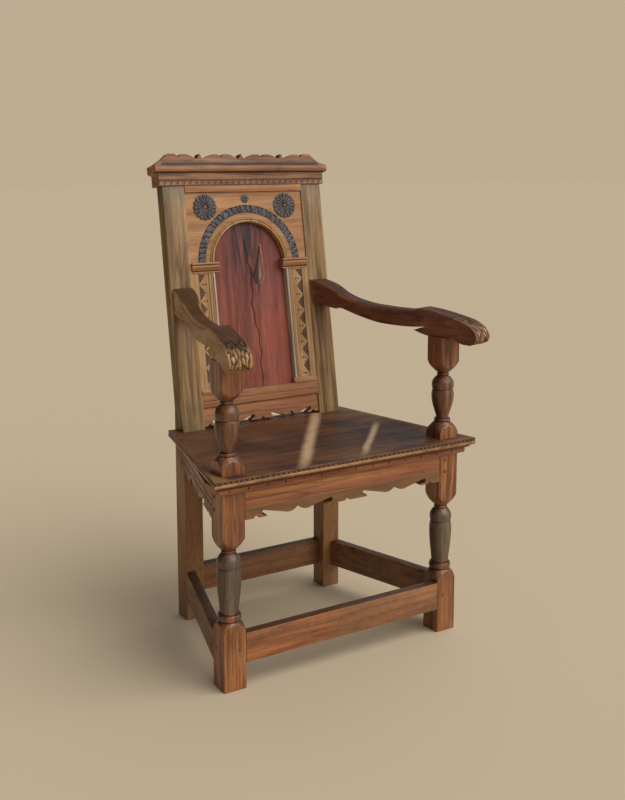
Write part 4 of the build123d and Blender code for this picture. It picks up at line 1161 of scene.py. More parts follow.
@dataclass(frozen=True)
class Turning:
    """One turned length between two square blocks: shoulder, ring, vase, bulb, neck, cap."""

    base: float
    shoulder: float
    ring: float
    vase: float
    bulb: float
    neck: float
    cap: float
    neck_radius: float
    corner: float = 36.4 * MM
    ring_radius: float = 24.0 * MM
    quirk: float = 3.4 * MM
    foot_radius: float = 16.0 * MM
    vase_radius: float = 24.8 * MM
    shoulder_power: float = 1.5
    groove: float = 2.6 * MM
    bulb_radius: float = 24.3 * MM
    bead: float = 2.0 * MM

    @property
    def stops(self) -> list[float]:
        """Return the heights where the turning's parts meet.

        Returns:
            The heights, from the lower block to the upper.
        """
        heights = [self.base]
        for part in (self.shoulder, self.ring, self.vase, self.bulb, self.neck, self.cap):
            heights.append(heights[-1] + part)
        return heights

    def radius(self, z: float) -> float:
        """Return the turned radius at a height.

        Args:
            z: Height over the floor.

        Returns:
            The radius, or a wide one outside the turning.
        """
        stops = self.stops
        if z <= stops[0] or z >= stops[-1]:
            return 1.0
        part = max(index for index, stop in enumerate(stops[:-1]) if z >= stop)
        t = (z - stops[part]) / (stops[part + 1] - stops[part])
        quirk = self.ring_radius - self.quirk
        top = self.vase_radius - self.groove
        if part == 0:
            return quirk + (self.corner - quirk) * (1 - t**self.shoulder_power)
        if part == 1:
            return quirk + self.quirk * math.sqrt(max(0.0, 1 - (2 * t - 1) ** 2))
        if part == 2:
            if t < 0.82:
                swell = self.vase_radius - self.foot_radius
                return self.foot_radius + swell * math.sin(math.pi / 2 * t / 0.82) ** 1.25
            return top + self.groove * math.cos(math.pi / 2 * (t - 0.82) / 0.18) ** 0.7
        if part == 3:
            if t < 0.36:
                return top + (self.bulb_radius - top) * math.sin(math.pi / 2 * t / 0.36) ** 0.7
            fall = (t - 0.36) / 0.64
            return self.neck_radius + (self.bulb_radius - self.neck_radius) * (1 - fall**2.1)
        if part == 4:
            return self.neck_radius + self.bead * math.sqrt(max(0.0, 1 - (2 * t - 1) ** 2))
        return self.neck_radius + (self.corner - self.neck_radius) * (1 - (1 - t) ** 1.75)

    def levels(self) -> list[float]:
        """Return the heights at which the turning's sections are taken.

        Returns:
            The heights, closer together where the parts meet.
        """
        counts = (16, 8, 26, 18, 6, 24)
        heights = []
        for start, end, count in zip(self.stops, self.stops[1:], counts):
            for step in range(count):
                share = 0.5 - 0.5 * math.cos(math.pi * step / count)
                heights.append(start + (end - start) * share)
        return heights + [self.stops[-1]]


@dataclass
class FrontPosts:
    """The two front posts, square in their blocks and turned between them.

    The squareness is the power of the superellipse of a block's section, and the highlight side
    the angle round the post at which a painted highlight lies on its turnings.
    """

    frame: ChairFrame
    finish: OakFinish
    size: float = 50.0 * MM
    top: float = 669.0 * MM
    squareness: float = 26.0
    foot_wear: float = 1.2 * MM
    foot_levels: tuple[float, ...] = (0.0, 0.0012, 0.02, 0.06, 0.1)
    block_levels: tuple[float, ...] = (0.36, 0.4, 0.44)
    head_level: float = 0.64
    arris: float = 0.0008
    highlight_side: float = 4.42
    steps_round: int = 112
    lower: Turning = Turning(
        113 * MM, 29 * MM, 15 * MM, 95 * MM, 31 * MM, 5 * MM, 36 * MM, 13 * MM,
        foot_radius=18.5 * MM, shoulder_power=1.9,
    )
    upper: Turning = Turning(
        447 * MM, 33 * MM, 7 * MM, 64 * MM, 32 * MM, 5 * MM, 35 * MM, 11.5 * MM,
        ring_radius=18.0 * MM, quirk=1.8 * MM, foot_radius=13.0 * MM, shoulder_power=2.0,
    )

    def build(self) -> None:
        """Build both posts."""
        for side in Side:
            self.build_post(side)
            LOG.info("front post %s: turned and dressed", side.label)

    def build_post(self, side: Side) -> None:
        """Build one post.

        Args:
            side: The side that it stands on.
        """
        levels = [*self.foot_levels, *self.lower.levels(), *self.block_levels]
        levels += [*self.upper.levels(), self.head_level, self.top - self.arris, self.top]
        z = np.array(levels)
        angles = np.linspace(0, 2 * math.pi, self.steps_round, endpoint=False)
        power = self.squareness
        corner = np.abs(np.cos(angles)) ** power + np.abs(np.sin(angles)) ** power
        square = (self.size / 2) / corner ** (1 / power)
        turned = np.array([min(self.lower.radius(level), self.upper.radius(level)) for level in z])
        radius = np.minimum(square[None, :], turned[:, None])
        radius[0] -= self.foot_wear
        is_turned = (turned[:, None] < square[None, :] - 0.2 * MM).astype(float)
        middle_y = self.frame.front_y + self.size / 2
        grid = np.stack(
            [
                side.value * self.frame.front_post_x + radius * np.cos(angles)[None, :],
                middle_y + radius * np.sin(angles)[None, :],
                np.repeat(z[:, None], self.steps_round, axis=1),
            ],
            axis=-1,
        )
        carved, tone = self.wear(z, angles)
        skin = Skin()
        skin.add_grid(grid, carved * is_turned, tone * is_turned, around=True, capped=True)
        piece = skin.build(f"turned_post_{side.label}", self.finish, sharp=34.0)
        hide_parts(f"front_post_{side.label}")

    def wear(self, z: np.ndarray, angles: np.ndarray) -> tuple[np.ndarray, np.ndarray]:
        """Return where the turning is dark, in its grooves and with painted shade, and where it is
        grey.

        Args:
            z: Heights of its sections.
            angles: Angles round them.

        Returns:
            Masks of the dark and of the grey, the grey paler in a painted highlight, by height and
            angle.
        """
        grooves = np.zeros(len(z))
        for turning in (self.lower, self.upper):
            for stop in turning.stops[1:5]:
                grooves = np.maximum(grooves, bump(z - stop, 1.3 * MM))
        # A painted highlight lies round the highlight side, paler on the vases; away from it the
        # turning takes painted shade, darkest at the back.
        turn = np.abs((angles - self.highlight_side + math.pi) % (2 * math.pi) - math.pi)[None, :]
        front = smooth((0.42 - turn) / 0.3)
        in_vase = self.vase_tone(z)[:, None]
        tone = np.clip(in_vase * 0.7 + np.minimum(in_vase * 4.0, 1.0) * 0.45 * front, 0, 1)
        painted_shade = 0.3 * (1 - front) + 0.5 * smooth((turn - 0.4) / 0.8)
        return np.clip(grooves[:, None] * 0.9 + painted_shade, 0, 1), tone

    def vase_tone(self, z: np.ndarray) -> np.ndarray:
        """Return how far the turning is worn to its grey second colour.

        Args:
            z: Heights of its sections.

        Returns:
            The share of the second colour at each height.
        """
        tone = np.zeros_like(z)
        for turning, share in ((self.lower, 1.0), (self.upper, 0.12)):
            low, high = turning.stops[2], turning.stops[4]
            tone = np.maximum(tone, share * smooth((z - low) / 0.008) * smooth((high - z) / 0.008))
        return tone


# Pieces that keep the frame's own shape, with rubbed edges


@dataclass
class LowerFrame:
    """Back posts, seat rails, stretchers and pegs."""

    finishes: Finishes
    rub: float = 1.3 * MM

    def build(self) -> None:
        """Build every piece of the lower frame."""
        plan = (
            ("rear_post_left", "stile_left", self.finishes.post),
            ("rear_post_right", "stile_right", self.finishes.post),
            ("front_seat_rail", "front_rail", self.finishes.rail),
            ("rear_seat_rail", "rear_rail", self.finishes.rail),
            ("side_seat_rail_left", "side_rail_left", self.finishes.rail),
            ("side_seat_rail_right", "side_rail_right", self.finishes.rail),
            ("front_stretcher", "foot_rail_front", self.finishes.stretcher),
            ("rear_stretcher", "foot_rail_rear", self.finishes.stretcher),
            ("side_stretcher_left", "foot_rail_left", self.finishes.side_stretcher),
            ("side_stretcher_right", "foot_rail_right", self.finishes.side_stretcher),
        )
        for node, name, finish in plan:
            worn_copy(node, name, finish, self.rub)
            LOG.info("%s: rubbed edges and %s", name, finish.name)
        for node in ("seat_rail_pegs", "stretcher_pegs", "back_pegs", "arm_pegs"):
            dress_node(node, self.finishes.peg)


def dress_node(node: str, finish: OakFinish) -> None:
    """Give a node of the frame its finish.

    Args:
        node: The node.
        finish: The finish.
    """
    material = finish.build()
    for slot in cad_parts[node].material_slots:
        slot.material = material
    LOG.info("%s: %s", node, finish.name)


# Seat


@dataclass
class Seat:
    """The seat board with its carved edge, and the strips under it."""

    frame: ChairFrame
    finishes: Finishes
    band_height: float = 7.5 * MM
    tooth_pitch: float = 11.6 * MM
    tooth_depth: float = 1.1 * MM
    nick_pitch: float = 42.0 * MM
    board_rub: float = 0.8 * MM
    tooth_share: float = 0.46
    strip_height: float = 12.0 * MM
    strip_rub: float = 1.2 * MM
    strip_pitch: float = 0.9 * MM
    rear_half_width: float = 0.2295
    bead_radius: float = 3.3 * MM
    bead_proud: float = 1.9 * MM
    bead_back: float = -6 * MM
    bead_steps: int = 9
    mitre: float = 0.44

    def build(self) -> None:
        """Build the board, its dog-tooth edge, its bead and the strips."""
        board = worn_copy("seat_board", "seat_plank", self.finishes.seat, self.board_rub)
        self.sink_band(board)
        self.build_edge()
        self.build_strips()
        LOG.info("seat: board, carved edge and strips")

    def corners(self) -> list[Vector]:
        """Return the outline of the board's top.

        Returns:
            Its corners, from the rear left round the front.
        """
        low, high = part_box("seat_board")
        return [
            Vector((-self.rear_half_width, high.y, high.z)),
            Vector((low.x, low.y, high.z)),
            Vector((high.x, low.y, high.z)),
            Vector((self.rear_half_width, high.y, high.z)),
        ]

    def sink_band(self, board: bpy.types.Object) -> None:
        """Sink the ground of the dog-tooth band into the board's edge.

        Args:
            board: The board's object, whose mesh is changed.
        """
        bottom = self.frame.seat_height - self.band_height
        corners = self.corners()
        shade = board.data.attributes.new("carved", "FLOAT", "POINT")
        for vertex in board.data.vertices:
            if bottom - 0.0006 < vertex.co.z < self.frame.seat_height - 0.0012:
                for start, end in zip(corners, corners[1:]):
                    along = (end - start).normalized()
                    inward = Vector((-along.y, along.x, 0))
                    off = (vertex.co - start).dot(inward)
                    if -0.0005 < off < 0.0012:
                        vertex.co += inward * (self.tooth_depth - off)
                        shade.data[vertex.index].value = 0.8

    def edges(self) -> list[tuple[Place, float]]:
        """Return the board's three outer edges.

        Returns:
            Each as a plane, x along it and z out of it, with its length.
        """
        corners = self.corners()
        places = []
        for start, end in zip(corners, corners[1:]):
            along = (end - start).normalized()
            outward = Vector((along.y, -along.x, 0))
            places.append((Place(start, along, Vector((0, 0, 1)), outward), (end - start).length))
        return places

    def build_edge(self) -> None:
        """Build the dog-tooth carving and the bead round the front and the sides."""
        teeth = Skin()
        bead = Skin()
        for place, length in self.edges():
            count = round(length / self.tooth_pitch)
            pitch = length / count
            for tooth in range(count):
                self.add_tooth(teeth, place, (tooth + 0.5) * pitch, pitch * self.tooth_share)
            self.add_bead(bead, place, length)
        teeth.build("seat_dog_tooth", self.finishes.tooth, sharp=20.0)
        bead.build("seat_bead", self.finishes.edge)

    def add_tooth(self, skin: Skin, place: Place, middle: float, half: float) -> None:
        """Add one tooth: a small pyramid-fronted triangle, pale on the dark ground.

        Args:
            skin: The mesh that takes the tooth.
            place: The plane of the edge.
            middle: Distance of the tooth's middle along the edge.
            half: Half the tooth's width.
        """
        foot = -self.band_height + 0.3 * MM
        head = foot + (self.band_height - 1.3 * MM)
        corners = [(middle - half, foot), (middle + half, foot), (middle, head)]
        base = [place.at(x, y, -self.tooth_depth - 0.0004) for x, y in corners]
        crown = [
            place.at(middle + (x - middle) * 0.5, foot + (y - foot) * 0.6 + 0.0008, -0.0002)
            for x, y in corners
        ]
        start = len(skin.points)
        skin.points.extend(tuple(point) for point in base + crown)
        skin.carved.extend([0.75] * 3 + [0.0] * 3)
        skin.tone.extend([0.0] * 6)
        skin.faces.append((start + 2, start + 1, start))
        skin.faces.append((start + 3, start + 4, start + 5))
        for near, far in ((0, 1), (1, 2), (2, 0)):
            skin.faces.append((start + near, start + far, start + 3 + far, start + 3 + near))

    def add_bead(self, skin: Skin, place: Place, length: float) -> None:
        """Add a half-round bead under the dog-tooth band, mitred at its ends.

        Args:
            skin: The mesh that takes the bead.
            place: The plane of the edge.
            length: Length of the edge.
        """
        angles = np.linspace(math.pi / 2, -math.pi / 2, self.bead_steps)
        out = -self.bead_proud + self.bead_proud * np.cos(angles)
        up = -self.band_height - self.bead_radius + self.bead_radius * np.sin(angles)
        out = np.concatenate([[self.bead_back], out, [self.bead_back]])
        up = np.concatenate([[up[0]], up, [up[-1]]])
        rows = [
            [tuple(place.at(end + mitre * offset, rise, offset)) for offset, rise in zip(out, up)]
            for end, mitre in ((0.0, -self.mitre), (length, self.mitre))
        ]
        skin.add_grid(np.array(rows), around=True, capped=True)

    def build_strips(self) -> None:
        """Build the nicked strip under the front of the seat, and the strips at the sides."""
        oak = self.finishes.moulding
        low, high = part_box("bed_moulding_front")
        corner = Vector((low.x, low.y, high.z))
        front = Place(corner, Vector((1, 0, 0)), Vector((0, 0, 1)), Vector((0, -1, 0)))
        skin = Skin()
        length = high.x - low.x
        rows = (-self.strip_height, 0.0)
        depth = low.y - high.y
        relief_block(skin, front, (0.0, length), rows, depth, self.nicks, self.strip_pitch)
        for index, (x, y, z) in enumerate(skin.points):
            limit = length / 2 - (y - low.y)
            skin.points[index] = (min(max(x, -limit), limit), y, z)
        piece = skin.build("bed_strip_front", oak)
        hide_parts("bed_moulding_front")
        for side in Side:
            node, name = f"bed_moulding_{side.label}", f"bed_strip_{side.label}"
            worn_copy(node, name, oak, self.strip_rub)

    def nicks(self, x: np.ndarray, y: np.ndarray) -> tuple[np.ndarray, np.ndarray]:
        """Return the strip's face: a sloped ovolo with punched dots and bars.

        Args:
            x: Distance from the left end.
            y: Height, 0 at the top.

        Returns:
            Height of the face over its outermost plane, and its carved mask.
        """
        share = -y / self.strip_height
        face = -2.2 * MM * smooth((share - 0.55) / 0.45) - 0.6 * MM * smooth((0.1 - share) / 0.1)
        step = np.round(x / self.nick_pitch - 0.5)
        off = x - (step + 0.5) * self.nick_pitch
        level = y + self.strip_height * 0.42
        dot = bump(np.hypot(off, level), 2.8 * MM) * (step % 2 == 0)
        bar = bump(off, 1.7 * MM) * bump(level, 5.5 * MM) * (step % 2 == 1)
        punch = np.maximum(dot, bar)
        return face - 2.0 * MM * punch, np.clip(punch * 2.2, 0, 1)


# Back


@dataclass
class BackPanel:
    """The floating panel, with its crack and its teardrop hollow, in painted shade at its left and
    top and painted highlight at its right.
    """

    frame: ChairFrame
    finish: OakFinish
    face: float = PANEL_FACE
    thickness: float = 9.0 * MM
    pitch: float = 1.6 * MM
    half_width: float = 160.0 * MM
    foot: float = 72.0 * MM
    head: float = 545.0 * MM
    crack_x: float = 0.004
    knot_x: float = 0.024
    knot_low: float = 0.320
    knot_high: float = 0.415
    knot_half: float = 0.0135

    def build(self) -> None:
        """Build the panel."""
        skin = Skin()
        span, rise = (-self.half_width, self.half_width), (self.foot, self.head)
        rear = self.face - self.thickness
        relief_block(skin, self.frame.back, span, rise, rear, self.surface, self.pitch)
        mask = np.array(skin.carved)
        # The dark part of the mask darkens the panel; its pale part, the knot's painted highlight,
        # takes the second colour.
        skin.carved = list(np.clip(mask, 0, 1))
        skin.tone = list(np.clip(-mask, 0, 1))
        piece = skin.build("red_panel", self.finish)
        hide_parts("back_panel")
        LOG.info("back panel: boards, crack and knot")

    def surface(self, x: np.ndarray, y: np.ndarray) -> tuple[np.ndarray, np.ndarray]:
        """Return the panel's face and its dark mask.

        Args:
            x: Distance across from the middle.
            y: Height up the slope.

        Returns:
            Height of the face over the back's plane, and its mask: over 0 where dark, under 0
            where pale.
        """
        path = self.crack_x + 0.012 * smooth((0.33 - y) / 0.25)
        path = path + 0.003 * np.sin(y * 42.0) + 0.0016 * np.sin(y * 131.0)
        path = path - 0.006 * smooth((y - 0.33) / 0.1)
        opening = (1.0 + 0.7 * np.sin(y * 55.0)) * MM * smooth((0.46 - y) / 0.1)
        crack = bump(x - path, 1.8 * MM + opening) * smooth((0.47 - y) / 0.08)
        share = np.clip((y - self.knot_low) / (self.knot_high - self.knot_low), 0, 1)
        bowl = np.sqrt(np.clip(1 - ((0.24 - share) / 0.24) ** 2, 0, 1))
        half = self.knot_half * np.where(share < 0.24, bowl, ((1 - share) / 0.76) ** 0.95)
        lean = self.knot_x + 0.012 * share
        off = x - lean
        within = (share > 0) & (share < 1)
        inside = smooth((half - np.abs(off)) / (3.0 * MM)) * within
        rim = bump(np.abs(off) - half, 3.0 * MM) * ((share > 0.0) & (share < 0.985))
        # The knot's left half, left rim and top take painted shade; its right rim and right inside
        # take a painted highlight.
        dark = np.where(off < half * 0.1, inside, 0.0) * 0.95 + rim * (off < 0)
        dark = dark + inside * smooth((0.22 - share) / 0.2)
        light = rim * (off > 0) + inside * (off > half * 0.15) * 0.8
        waves = 0.25 * MM * np.sin(x * 160.0 + 2.0 * np.sin(y * 13.0))
        height = self.face + waves - 1.6 * MM * crack - 3.6 * MM * inside + 0.8 * MM * rim
        return height, np.clip(crack * 0.9 + dark, 0, 1) - np.clip(light * (1 - crack), 0, 1)


@dataclass
class Arcade:
    """Spandrel board, carved archivolt, bead, imposts, pilasters, rosettes and boss."""

    frame: ChairFrame
    finishes: Finishes
    board_rub: float = 0.5 * MM
    foot_rub: float = 0.9 * MM
    rail_rub: float = 1.0 * MM
    centre: float = 374.0 * MM
    bead_inner: float = 93.0 * MM
    bead_outer: float = 102.7 * MM
    band_inner: float = 114.0 * MM
    band_outer: float = 133.0 * MM
    band_gap: float = 0.0002
    band_floor: float = -4.6 * MM
    band_steps: int = 560
    bead_steps: int = 90
    spring: float = 377.0 * MM
    impost_inner: float = 84.0 * MM
    pilaster_inner: float = 95.0 * MM
    pilaster_outer: float = 153.2 * MM
    pilaster_foot: float = 91.0 * MM
    pilaster_head: float = 354.0 * MM
    reed_plan: tuple[tuple[float, float, float], ...] = (
        (2.6 * MM, 2.6 * MM, 1.0 * MM),
        (7.4 * MM, 1.9 * MM, 0.6 * MM),
    )
    quirks: tuple[float, ...] = (5.3 * MM, 9.8 * MM, 16.6 * MM, 41.0 * MM)
    vine_inner: float = 17.0 * MM
    vine_outer: float = 40.4 * MM
    leaf_pitch: float = 38.0 * MM
    pilaster_pitch: float = 0.85 * MM
    impost_pitch: float = 0.6 * MM
    disc_floor: float = -3.2 * MM
    rosette_across: float = 105.0 * MM
    rosette_height: float = 504.0 * MM
    rosette_radius: float = 30.0 * MM
    petals: int = 16
    boss_height: float = 522.5 * MM
    boss_radius: float = 10.0 * MM

    def build(self) -> None:
        """Build every piece of the arcade."""
        oak = self.finishes.arcade
        worn_copy("arcade_board", "spandrel_board", oak, self.board_rub)
        self.build_archivolt()
        self.build_bead()
        for side in Side:
            self.build_pilaster(side)
            self.build_rosette(side)
            self.build_impost(side)
            node, name = f"pilaster_base_{side.label}", f"pilaster_foot_{side.label}"
            worn_copy(node, name, oak, self.foot_rub)
            LOG.info("arcade %s: pilaster, impost, base and rosette", side.label)
        self.build_boss()
        oak = self.finishes.back_rail
        worn_copy("top_back_rail", "back_rail_top", oak, self.rail_rub)
        worn_copy("lower_back_rail", "back_rail_low", oak, self.rail_rub)

    def ring(
        self, inner: float, outer: float, profile: Relief, steps: int, rows: int, floor: float
    ) -> Skin:
        """Build a half ring over the springing, with a carved or moulded face.

        Args:
            inner: Its inner radius.
            outer: Its outer radius.
            profile: Gives height and mask from the angle and the share across the ring.
            steps: Number of steps round.
            rows: Number of steps across.
            floor: Height of its back.

        Returns:
            The ring's skin.
        """
        lift = math.asin((self.spring - self.centre) / ((inner + outer) / 2))
        angle, share = np.meshgrid(
            np.linspace(lift, math.pi - lift, steps), np.linspace(0, 1, rows), indexing="ij"
        )
        radius = inner + (outer - inner) * share
        height, carved = profile(angle, share)
        x = radius * np.cos(angle)
        y = self.centre + radius * np.sin(angle)
        face = self.frame.back.grid(x, y, height)
        rear = self.frame.back.grid(x[:, ::-1], y[:, ::-1], np.full(x.shape, floor))
        skin = Skin()
        section = np.concatenate([face, rear[:, [0, -1]]], axis=1)
        masks = np.concatenate([carved, np.zeros((steps, 2))], axis=1)
        skin.add_grid(section, masks, around=True, capped=True)
        return skin

    def build_archivolt(self) -> None:
        """Build the blackened band of small leaves round the arch."""
        inner, outer = self.band_inner + self.band_gap, self.band_outer - self.band_gap
        skin = self.ring(inner, outer, self.leaves, self.band_steps, 17, self.band_floor)
        skin.build("archivolt_leaves", self.finishes.carving, sharp=60.0)

    def leaves(self, angle: np.ndarray, share: np.ndarray) -> tuple[np.ndarray, np.ndarray]:
        """Carve overlapping leaves of uneven size, between two narrow fillets.

        Args:
            angle: Angle round the arch.
            share: Share of the way across the band.

        Returns:
            Height over the back's plane and the carved mask.
        """
        turns = angle / math.pi * 29.0 + 0.22 * np.sin(angle * 11.0)
        turns = turns + 0.12 * np.sin(angle * 29.0 + 1.0)
        slant = turns - 0.55 * share + 0.1 * np.sin(share * 9.0 + angle * 37.0)
        leaf = np.abs(np.sin(slant * math.pi)) ** 0.7
        tip = smooth((share - 0.62 - 0.3 * leaf) / 0.1)
        vein = bump(np.mod(slant, 1.0) - 0.5, 0.12) * smooth((0.8 - share) / 0.2)
        eye = bump(np.hypot(np.mod(turns + 0.35, 1.0) - 0.5, (share - 0.22) * 1.6), 0.2)
        rim = np.maximum(bump(share, 0.08), bump(share - 1.0, 0.07))
        pad = np.clip(leaf - tip - 0.45 * vein - 0.6 * eye, 0, 1)
        level = -4.3 * MM + 2.0 * MM * pad * (1 - rim) + 1.0 * MM * rim
        return level, np.clip(1.0 - pad * 1.15, 0.0, 1.0) * (1 - rim) + 0.5 * rim

    def reeds(self, angle: np.ndarray, share: np.ndarray) -> tuple[np.ndarray, np.ndarray]:
        """Shape two round reeds with a quirk between them.

        Args:
            angle: Angle round the arch, which doesn't matter to them.
            share: Share of the way across the bead.

        Returns:
            Height over the back's plane and the carved mask.
        """
        first = np.clip(1 - ((share - 0.3) / 0.3) ** 2, 0, 1) ** 0.5
        second = np.clip(1 - ((share - 0.82) / 0.18) ** 2, 0, 1) ** 0.5
        level = -3.4 * MM + 3.2 * MM * np.maximum(first, second * 0.8)
        return level, bump(share - 0.62, 0.1) * 0.9

    def build_bead(self) -> None:
        """Build the reeded bead that lines the arch."""
        inner, outer = self.bead_inner, self.bead_outer
        skin = self.ring(inner, outer, self.reeds, self.bead_steps, 25, PANEL_FACE)
        piece = skin.build("arch_reeds", self.finishes.pilaster, sharp=50.0)
        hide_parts("arch_bead")

    def build_pilaster(self, side: Side) -> None:
        """Build one pilaster, with its reeds and its band of leaves and dots.

        Args:
            side: The side that it stands on.
        """
        skin = Skin()
        span = sorted((side.value * self.pilaster_inner, side.value * self.pilaster_outer))
        rows = (self.pilaster_foot, self.pilaster_head)
        face = self.pilaster_face
        pitch = self.pilaster_pitch
        relief_block(skin, self.frame.back, tuple(span), rows, PANEL_FACE, face, pitch)
        skin.tone = [self.reed_tone(point) for point in skin.points]
        oak = self.finishes.pilaster
        piece = skin.build(f"carved_pilaster_{side.label}", oak, sharp=65.0)
        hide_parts(f"pilaster_{side.label}")

    def pilaster_face(self, x: np.ndarray, y: np.ndarray) -> tuple[np.ndarray, np.ndarray]:
        """Carve the face of a pilaster: reeds, quirks and a sunk band.

        Args:
            x: Distance across from the middle of the back.
            y: Height up the slope.

        Returns:
            Height over the back's plane and the carved mask.
        """
        across = np.abs(x) - self.pilaster_inner
        level = np.full(x.shape, -1.0 * MM)
        dark = np.zeros(x.shape)
        for middle, half, proud in self.reed_plan:
            reed = np.clip(1 - ((across - middle) / half) ** 2, 0, 1) ** 0.5
            level = np.maximum(level, -2.4 * MM + (1.4 * MM + proud) * reed)
        for quirk in self.quirks:
            line = bump(across - quirk, 0.9 * MM)
            level = level - 1.3 * MM * line
            dark = np.maximum(dark, 0.95 * line)
        inside = (across > self.vine_inner) & (across < self.vine_outer)
        inside &= (y > self.pilaster_foot + 5 * MM) & (y < self.pilaster_head - 4 * MM)
        leaf, dot = self.vine(across - self.vine_inner, y)
        cut = np.maximum(leaf, dot) * inside
        level = level - 1.4 * MM * inside - 0.9 * MM * cut
        return level, np.clip(np.maximum(dark, cut), 0, 1)

    def build_impost(self, side: Side) -> None:
        """Build one impost: a fillet over a swelling fascia, with dark quirks between.

        Args:
            side: The side that it is on.
        """
        skin = Skin()
        span = sorted((side.value * self.impost_inner, side.value * self.pilaster_outer))
        rows = (self.pilaster_head, self.spring)
        face = self.impost_face
        pitch = self.impost_pitch
        relief_block(skin, self.frame.back, tuple(span), rows, PANEL_FACE, face, pitch)
        piece = skin.build(f"impost_block_{side.label}", self.finishes.arcade, sharp=45.0)
        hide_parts(f"impost_{side.label}")

    def impost_face(self, x: np.ndarray, y: np.ndarray) -> tuple[np.ndarray, np.ndarray]:
        """Shape the moulded face of an impost.

        Args:
            x: Distance across from the middle of the back.
            y: Height up the slope.

        Returns:
            Height over the back's plane and the carved mask.
        """
        share = (y - self.pilaster_head) / (self.spring - self.pilaster_head)
        level = 1.5 * MM + 4.6 * MM * smooth((share - 0.1) / 0.5)
        level = np.where(share > 0.78, 7.0 * MM, level)
        level = np.where(share < 0.14, 0.8 * MM, level)
        lower, upper = bump(share - 0.16, 0.07), bump(share - 0.77, 0.07)
        level = level - 2.0 * MM * np.maximum(lower, upper)
        ends = np.minimum(np.abs(x) - self.impost_inner, self.pilaster_outer - np.abs(x))
        level = level - 0.6 * MM * bump(ends, 1.0 * MM)
        return level, np.clip(np.maximum(lower, upper) * 1.2, 0, 1)

    def reed_tone(self, point: tuple[float, float, float]) -> float:
        """Return how pale the innermost reed is at a point."""
        return 0.9 if abs(point[0]) - self.pilaster_inner < 5.0 * MM else 0.0

    def vine(self, across: np.ndarray, y: np.ndarray) -> tuple[np.ndarray, np.ndarray]:
        """Return the masks of the leaves along the outer side and of the dots between them.

        Args:
            across: Distance into the band from its inner edge.
            y: Height up the slope.

        Returns:
            Masks of the leaves and of the dots.
        """
        width = self.vine_outer - self.vine_inner
        turn = (y - self.pilaster_foot - 8 * MM) / self.leaf_pitch
        phase = turn - np.floor(turn)
        reach = np.clip(1.0 - np.abs(phase - 0.5) / 0.42, 0, 1)
        lobes = 0.8 + 0.2 * np.abs(np.sin(phase * math.pi * 5.0))
        edge = width - reach**0.7 * lobes * width * 0.66
        leaf = smooth((across - edge) / (1.4 * MM))
        vein = np.abs(np.sin(across * 520.0 + phase * 15.0))
        leaf = leaf * (0.55 + 0.45 * smooth(vein * 2.0))
        near = np.minimum(phase, 1 - phase) * self.leaf_pitch
        dot = bump(np.hypot(near, across - width * 0.34), 3.4 * MM)
        tick = bump(np.hypot(near * 0.5, across - width * 0.62), 2.4 * MM)
        return leaf, np.clip(np.maximum(dot, tick * 0.8) * 1.8, 0, 1)

    def disc(
        self, x: float, y: float, radius: float, shape: DiscRelief, rings: int, steps: int
    ) -> Skin:
        """Build a round carving that lies on the spandrel.

        Args:
            x: Its middle, across.
            y: Its middle, up the slope.
            radius: Its radius.
            shape: Gives radius share, height, carved mask and tone from share and angle.
            rings: Number of rings.
            steps: Number of steps round.

        Returns:
            Its skin.
        """
        turn = np.linspace(0, 2 * math.pi, steps, endpoint=False)
        share, angle = np.meshgrid(np.linspace(0.02, 1, rings), turn, indexing="ij")
        reach, height, carved, tone = shape(share, angle)
        span = radius * share * reach
        across, up = x + span * np.cos(angle), y + span * np.sin(angle)
        face = self.frame.back.grid(across, up, height)
        rim = self.frame.back.grid(across[-1:], up[-1:], np.full((1, steps), self.disc_floor))
        skin = Skin()
        skin.add_grid(
            np.concatenate([face, rim]),
            np.concatenate([carved, carved[-1:]]),
            np.concatenate([tone, tone[-1:]]),
            around=True,
            capped=True,
        )
        return skin

    def build_rosette(self, side: Side) -> None:
        """Build one rosette of long petals round a small button.

        Args:
            side: The side that it is on.
        """
        across, steps = side.value * self.rosette_across, self.petals * 12
        shape = self.petal_relief
        skin = self.disc(across, self.rosette_height, self.rosette_radius, shape, 26, steps)
        piece = skin.build(f"petal_rosette_{side.label}", self.finishes.carving, sharp=60.0)
        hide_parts(f"rosette_{side.label}")

    def petal_relief(self, share: np.ndarray, angle: np.ndarray) -> tuple[np.ndarray, ...]:
        """Carve a rosette's petals and its button.

        Args:
            share: Share of the way out from its middle.
            angle: Angle round it.

        Returns:
            Share of its radius that the outline reaches, height, carved mask and tone.
        """
        wave = np.abs(np.cos(angle * self.petals / 2))
        reach = 0.88 + 0.12 * wave**0.45
        reach = 1 - (1 - reach) * smooth((share - 0.55) / 0.4)
        pad = wave**0.45 * smooth((share - 0.12) / 0.2) * smooth((1.04 - share) / 0.14)
        cup = bump(wave - 1.0, 0.3) * bump(share - 0.74, 0.3)
        button = np.clip(1 - (share / 0.13) ** 2, 0, 1) ** 0.5
        height = -1.8 * MM + 2.7 * MM * pad - 1.1 * MM * cup + 2.6 * MM * button
        carved = np.clip(1 - wave * 2.6, 0, 1) * smooth((share - 0.12) / 0.1) + 0.5 * cup
        carved = carved + 0.7 * bump(share - 0.15, 0.04)
        return reach, height, np.clip(carved, 0, 1), smooth((0.14 - share) / 0.03)

    def build_boss(self) -> None:
        """Build the small boss with a cross cut in it."""
        skin = self.disc(0.0, self.boss_height, self.boss_radius, self.boss_relief, 16, 48)
        piece = skin.build("crossed_boss", self.finishes.carving, sharp=60.0)
        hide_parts("centre_boss")
        LOG.info("boss: domed and crossed")

